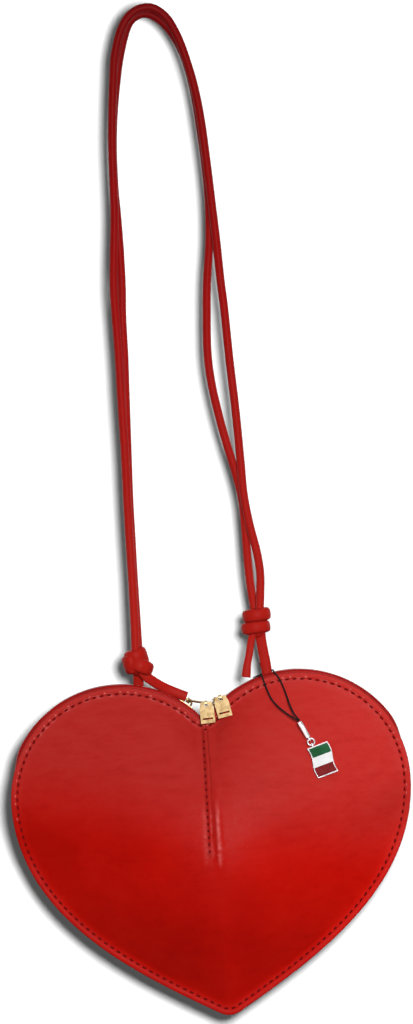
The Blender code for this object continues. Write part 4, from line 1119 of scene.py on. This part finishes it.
def teeth(name, side, replaced):
    """One row of interlocking metal teeth, at a real zip's pitch."""
    line = track_line(ROW_END, TOOTH_STATIONS)
    middle = [where + out * (TEETH_LOW + TEETH_HIGH) / 2 for where, out in line]
    even = spaced(middle, 2 * int(line_length(middle) / TOOTH_PITCH) + 1)
    points, faces = [], []
    half_up = (TEETH_HIGH - TEETH_LOW) / 2
    across = Vector((0, side, 0))
    for k in range(0 if side < 0 else 1, len(even), 2):
        along = way_at(even, k)
        out = Vector((-along.z, 0, along.x))
        base = len(points)
        for depth, length, height in TOOTH_SECTIONS:
            for a, b in ((-1, -1), (1, -1), (1, 1), (-1, 1)):
                points.append(even[k] + across * depth + along * a * length + out * b * half_up * height)
        end = len(points) - 4
        faces += ring_faces(range(base, len(points), 4), 4)
        faces += [[base, base + 1, base + 2, base + 3], [end, end + 1, end + 2, end + 3]]
    obj = mesh_piece(name, points, faces)
    dressed(obj, "bag", GOLD, "gold", replaced)
    obj.data.shade_flat()


teeth("front_teeth", -1, "zip_teeth_front")
teeth("back_teeth", 1, "zip_teeth_back")


# Strap

def lean_back(x, z):
    """How far a strand leans forward or back near its end, to run into its knot."""
    middle = LEFT_KNOT if x < 0 else RIGHT_KNOT
    return middle.y * (1 - smoothstep((z - middle.z) / STRAND_LEAN_HEIGHT))


def cord_curve(name, route, radius):
    data = bpy.data.curves.new(name, "CURVE")
    data.dimensions = "3D"
    data.bevel_depth = radius
    data.bevel_resolution = 6
    data.use_fill_caps = True
    spline = data.splines.new("POLY")
    spline.points.add(len(route) - 1)
    for point, where in zip(spline.points, route):
        point.co = (*where, 1.0)
    spline.use_smooth = True
    return placed(name, data)


for word, y, flat_route in (("front", -STRAND_Y, STRAND_FRONT), ("back", STRAND_Y, STRAND_BACK)):
    route = smooth_route([(x, y + lean_back(x, z), z) for x, z in flat_route], STRAND_POINTS)
    strand = cord_curve(f"strand_{word}", route, STRAND_R)
    dressed(strand, "strap", STRAP, "strap", f"strap_strand_{word}")


def strip_of(name, route, half_wide, half_thick, wide_way=None, taper=None):
    """A flattened cord along a route."""
    even = smooth_route(route, STRIP_POINTS)
    return swept(name, cord_sections(even, half_wide, half_thick, STRIP_SIDES, STRIP_POWER, wide_way, taper))


def with_cut_end(obj, end, radius):
    """Paints the raw leather of a cord's cut end."""
    obj.data.materials.append(CUT)
    for polygon in obj.data.polygons:
        near = all((obj.data.vertices[i].co - end).length < radius for i in polygon.vertices)
        if near and len(polygon.vertices) == STRIP_SIDES:
            polygon.material_index = 1


for word, leg_route in (("left", LEFT_LEG), ("right", RIGHT_LEG)):
    leg = strip_of(f"{word}_leg_strip", leg_route, LEG_HALF_WIDE, LEG_HALF_THICK)
    dressed(leg, "strap", STRAP, "strap", f"{word}_leg")

left_tail = strip_of(
    "left_tail_strip", LEFT_TAIL, TAIL_HALF_WIDE, TAIL_HALF_THICK, Vector((0.35, 0, 0.94))
)
dressed(left_tail, None, STRAP, "strap", "left_tail")
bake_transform(left_tail)
right_tail = strip_of(
    "right_tail_strip", RIGHT_TAIL, TAIL_HALF_WIDE * 0.80, TAIL_HALF_THICK, Vector((1, 0, 0)),
    lambda share: TAIL_WAIST + TAIL_FLARE * smoothstep((share - 0.6) / 0.4),
)
dressed(right_tail, None, STRAP, "strap", "right_tail")
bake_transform(right_tail)
for tail, end in ((left_tail, LEFT_TAIL[-1]), (right_tail, RIGHT_TAIL[-1])):
    with_cut_end(tail, Vector(end), 2 * TAIL_HALF_WIDE)


# Knots

def band(points, faces, middle, radii, half_high, half_thick, lean, pitch):
    """Adds one turn of flattened cord round a knot's core, leaning sideways and to the front."""
    turn = Matrix.Rotation(lean, 3, "Y") @ Matrix.Rotation(pitch, 3, "X")
    start = len(points)
    for k in range(TURN_AROUND):
        angle = math.tau * k / TURN_AROUND
        out = Vector((math.cos(angle) / radii[0], math.sin(angle) / radii[1], 0)).normalized()
        where = Vector((math.cos(angle) * radii[0], math.sin(angle) * radii[1], 0))
        pinch = 1 - TURN_PINCH * pushed(math.cos(angle / 2 + 0.6), 0.5)
        for i in range(TURN_SIDES):
            c, s = squared(math.tau * i / TURN_SIDES, *TURN_POWERS)
            place = where + out * c * half_thick + Vector((0, 0, s * half_high * pinch))
            points.append(middle + turn @ place)
    faces += ring_faces([*range(start, len(points), TURN_SIDES), start], TURN_SIDES)


def blob(points, faces, middle, radii):
    """Adds a rounded core."""
    start = len(points)
    points.append(middle + Vector((0, 0, radii[2])))
    for k in range(1, CORE_RINGS):
        polar = math.pi * k / CORE_RINGS
        for i in range(CORE_SIDES):
            angle = math.tau * i / CORE_SIDES
            points.append(middle + Vector((
                radii[0] * math.sin(polar) * math.cos(angle),
                radii[1] * math.sin(polar) * math.sin(angle),
                radii[2] * math.cos(polar),
            )))
    points.append(middle - Vector((0, 0, radii[2])))
    faces += capped_faces(start, len(points) - 1, CORE_SIDES)


def knot(name, middle, core, turns, replaced):
    """A knot: its core, and turns of flattened cord round it."""
    points, faces = [], []
    blob(points, faces, middle, core)
    for rise, shift, *turn in turns:
        band(points, faces, middle + Vector((shift, 0, rise)), *turn)
    obj = mesh_piece(name, points, faces)
    for vertex in obj.data.vertices:
        offset = vertex.co - middle
        vertex.co = middle + offset * (1 + KNOT_RIPPLE * noise.noise(vertex.co * 300))
    dressed(obj, "strap", STRAP, "strap", replaced)


knot("left_knot_wraps", LEFT_KNOT + LEFT_SAG, LEFT_CORE, LEFT_BANDS, "left_knot")
knot("right_knot_wraps", RIGHT_KNOT, RIGHT_CORE, RIGHT_BANDS, "right_knot")


# Charm

def charm_line():
    """The thin cord's route: up the leather, round the leg and down again, from the ferrule."""
    runs = []
    high = -RIM_HALF - LANYARD_R - CLEAR
    for flat_route in (LANYARD_LEFT, LANYARD_RIGHT):
        run = []
        for x, z in flat_route:
            place, _ = surface_at(x, z)
            lift = min(place.y, -RIM_HALF) - LANYARD_R - CLEAR
            share = smoothstep((CORD_HIGH_Z - z) / (CORD_HIGH_Z - FERRULE_TOP_Z))
            run.append(Vector((x, min(lift, high + (CHARM_Y - high) * share), z)))
        runs.append(run)
    return smooth_route(runs[0] + [Vector(p) for p in LANYARD_LOOP] + runs[1], LANYARD_POINTS)


charm_route = charm_line()
charm_cord = swept("charm_cord_strand", cord_sections(charm_route, LANYARD_R, LANYARD_R, LANYARD_SIDES))
dressed(charm_cord, None, WAXED, "cord", "charm_cord")
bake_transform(charm_cord)


# Hardware and small leather pieces

def dress(name, look, body, slot, bevel, swell=()):
    """A copy of a solid, its edges rounded as the real piece's are, swelled sideways to fill its recess."""
    solid = nodes[name]
    mesh = solid.data.copy()
    mesh.transform(solid.matrix_world)
    bm = bmesh.new()
    bm.from_mesh(mesh)
    bmesh.ops.remove_doubles(bm, verts=bm.verts, dist=WELD)
    bmesh.ops.dissolve_limit(bm, angle_limit=FLAT_ANGLE, verts=bm.verts, edges=bm.edges)
    bm.normal_update()
    for axis, amount in swell:
        for vertex in bm.verts:
            facing = vertex.normal.dot(axis)
            vertex.co += axis * (math.copysign(amount, facing) if abs(facing) > SWELL_FACING else 0)
    bm.to_mesh(mesh)
    bm.free()
    obj = placed(f"{name}_finish", mesh)
    dressed(obj, body, look, slot, name)
    rounding = obj.modifiers.new("rounding", "BEVEL")
    rounding.width = bevel
    rounding.segments = 3
    rounding.limit_method = "ANGLE"
    rounding.angle_limit = SHARP_ANGLE
    rounding.use_clamp_overlap = True
    shading = obj.modifiers.new("shading", "WEIGHTED_NORMAL")
    shading.weight = 100
    shading.keep_sharp = True


for word in ("left", "right"):
    dress(f"{word}_slider", GOLD, f"{word}_slider", "gold", 0.00018)
    dress(f"{word}_pull_link", GOLD, f"{word}_slider", "gold", 0.00012)
    dress(f"{word}_puller", GOLD, f"{word}_puller", "gold", 0.00020)
    dress(f"{word}_zip_stop", GOLD, "bag", "gold", 0.00020)
    dress(f"{word}_strap_loop", GUSSET_SHADED_LEATHER, "bag", "leather", 0.00015)
    dress(f"{word}_gusset_tab", GUSSET_SHADED_LEATHER, "bag", "leather", 0.00020)
dress("charm_ferrule", SILVER, "charm", "silver", 0.00015)
dress("charm_ring", SILVER, "charm", "silver", 0.00005)
dress("charm_frame", SILVER, "charm_flag", "silver", 0.00015)
for word, look in (("green", GREEN), ("white", WHITE), ("maroon", MAROON)):
    dress(f"enamel_{word}", look, "charm_flag", word, 0.00006, FIELD_SWELL)
for word in ("front", "back"):
    for name, look, slot in ((f"zip_tape_{word}", TAPE, "tape"), (f"{word}_lining", LINING, "lining")):
        solid = nodes[name]
        solid.data.materials.clear()
        solid.data.materials.append(look)


# Camera, lamps and stage

def add_camera():
    data = bpy.data.cameras.new("photo_view")
    data.sensor_width = SENSOR
    data.lens = SENSOR * VIEW_DISTANCE / VIEW_HEIGHT
    data.clip_end = 4 * VIEW_DISTANCE
    obj = placed("photo_view", data)
    up = Vector((math.sin(TILT), 0, math.cos(TILT)))
    back = Vector((0, -1, 0))
    turn = Matrix((up.cross(back), up, back)).transposed()
    obj.matrix_world = Matrix.Translation(VIEW_MIDDLE + back * VIEW_DISTANCE) @ turn.to_4x4()
    bpy.context.scene.camera = obj


def add_lamp(name, place, size, power):
    data = bpy.data.lights.new(name, "AREA")
    data.shape = "DISK"
    data.size = size
    data.energy = power
    obj = placed(name, data)
    obj.location = place
    obj.rotation_mode = "QUATERNION"
    obj.rotation_quaternion = (VIEW_MIDDLE - place).to_track_quat("-Z", "Y")


def seen_rays(tree):
    """1 for rays that show the background: straight from the camera, or off metal and through glass."""
    rays = node(tree, "ShaderNodeLightPath").outputs
    seen = rays["Is Camera Ray"]
    for kind in ("Is Glossy Ray", "Is Transmission Ray"):
        seen = node(tree, "ShaderNodeMath", seen, rays[kind], operation="MAXIMUM").outputs["Value"]
    return seen


def add_world():
    world = bpy.data.worlds.new("studio")
    world.use_nodes = True
    tree = world.node_tree
    background = tree.nodes["Background"]
    background.inputs["Color"].default_value = (1, 1, 1, 1)
    tree.links.new(scaled(tree, seen_rays(tree), WORLD_LEVEL, 1.0), background.inputs["Strength"])
    bpy.context.scene.world = world


def paper(name, level):
    """Pale paper that shows from its front only and glows a little where it is seen."""
    made, tree, shader = shader_of(name, (0.93, 0.93, 0.93), 0.9, Specular_IOR_Level=0.0)
    surfaced(tree, shader, ramp(tree, noise_of(tree, coordinates(tree), 300.0, 3.0), PAPER_TONES))
    shader.inputs["Emission Color"].default_value = (1, 1, 1, 1)
    glow = node(tree, "ShaderNodeMath", seen_rays(tree), level, operation="MULTIPLY")
    tree.links.new(glow.outputs["Value"], shader.inputs["Emission Strength"])
    behind = node(tree, "ShaderNodeNewGeometry").outputs["Backfacing"]
    clear = node(tree, "ShaderNodeBsdfTransparent").outputs["BSDF"]
    mix = node(tree, "ShaderNodeMixShader", behind, shader.outputs["BSDF"], clear)
    tree.links.new(mix.outputs["Shader"], tree.nodes["Material Output"].inputs["Surface"])
    return made


def add_stage():
    """A pale floor, and a pale wall close behind the bag that holds back no light."""
    half, deep, low = STAGE_HALF, 2 * STAGE_HALF, FLOOR_Z
    corners = {
        "floor": ((-half, -deep, low), (half, -deep, low), (half, deep, low), (-half, deep, low)),
        "wall": ((-half, WALL_Y, low), (half, WALL_Y, low), (half, WALL_Y, half), (-half, WALL_Y, half)),
    }
    stage = bpy.data.collections.new("stage_light")
    for name, places in corners.items():
        mesh = bpy.data.meshes.new(name)
        mesh.from_pydata(places, [], [(0, 1, 2, 3)])
        mesh.materials.append(paper(f"pale_{name}", GLOWS[name]))
        obj = placed(name, mesh)
        obj.visible_shadow = name == "floor"
        obj.visible_diffuse = False
        stage.objects.link(obj)
    return stage


def share_light(stage):
    """One lamp lights the stage alone, and two light the bag alone, so that its shadow stays dark."""
    bpy.data.objects["wall_key"].light_linking.receiver_collection = stage
    rest = bpy.data.collections.new("bag_light")
    for obj in stage.objects:
        rest.objects.link(obj)
    for member in rest.collection_objects:
        member.light_linking.link_state = "EXCLUDE"
    for name in ("sheen", "low_fill"):
        bpy.data.objects[name].light_linking.receiver_collection = rest


add_camera()
for name, (place, size, power) in LAMPS.items():
    add_lamp(name, place, size, power)
add_world()
share_light(add_stage())
bpy.context.scene.view_settings.view_transform = "Standard"
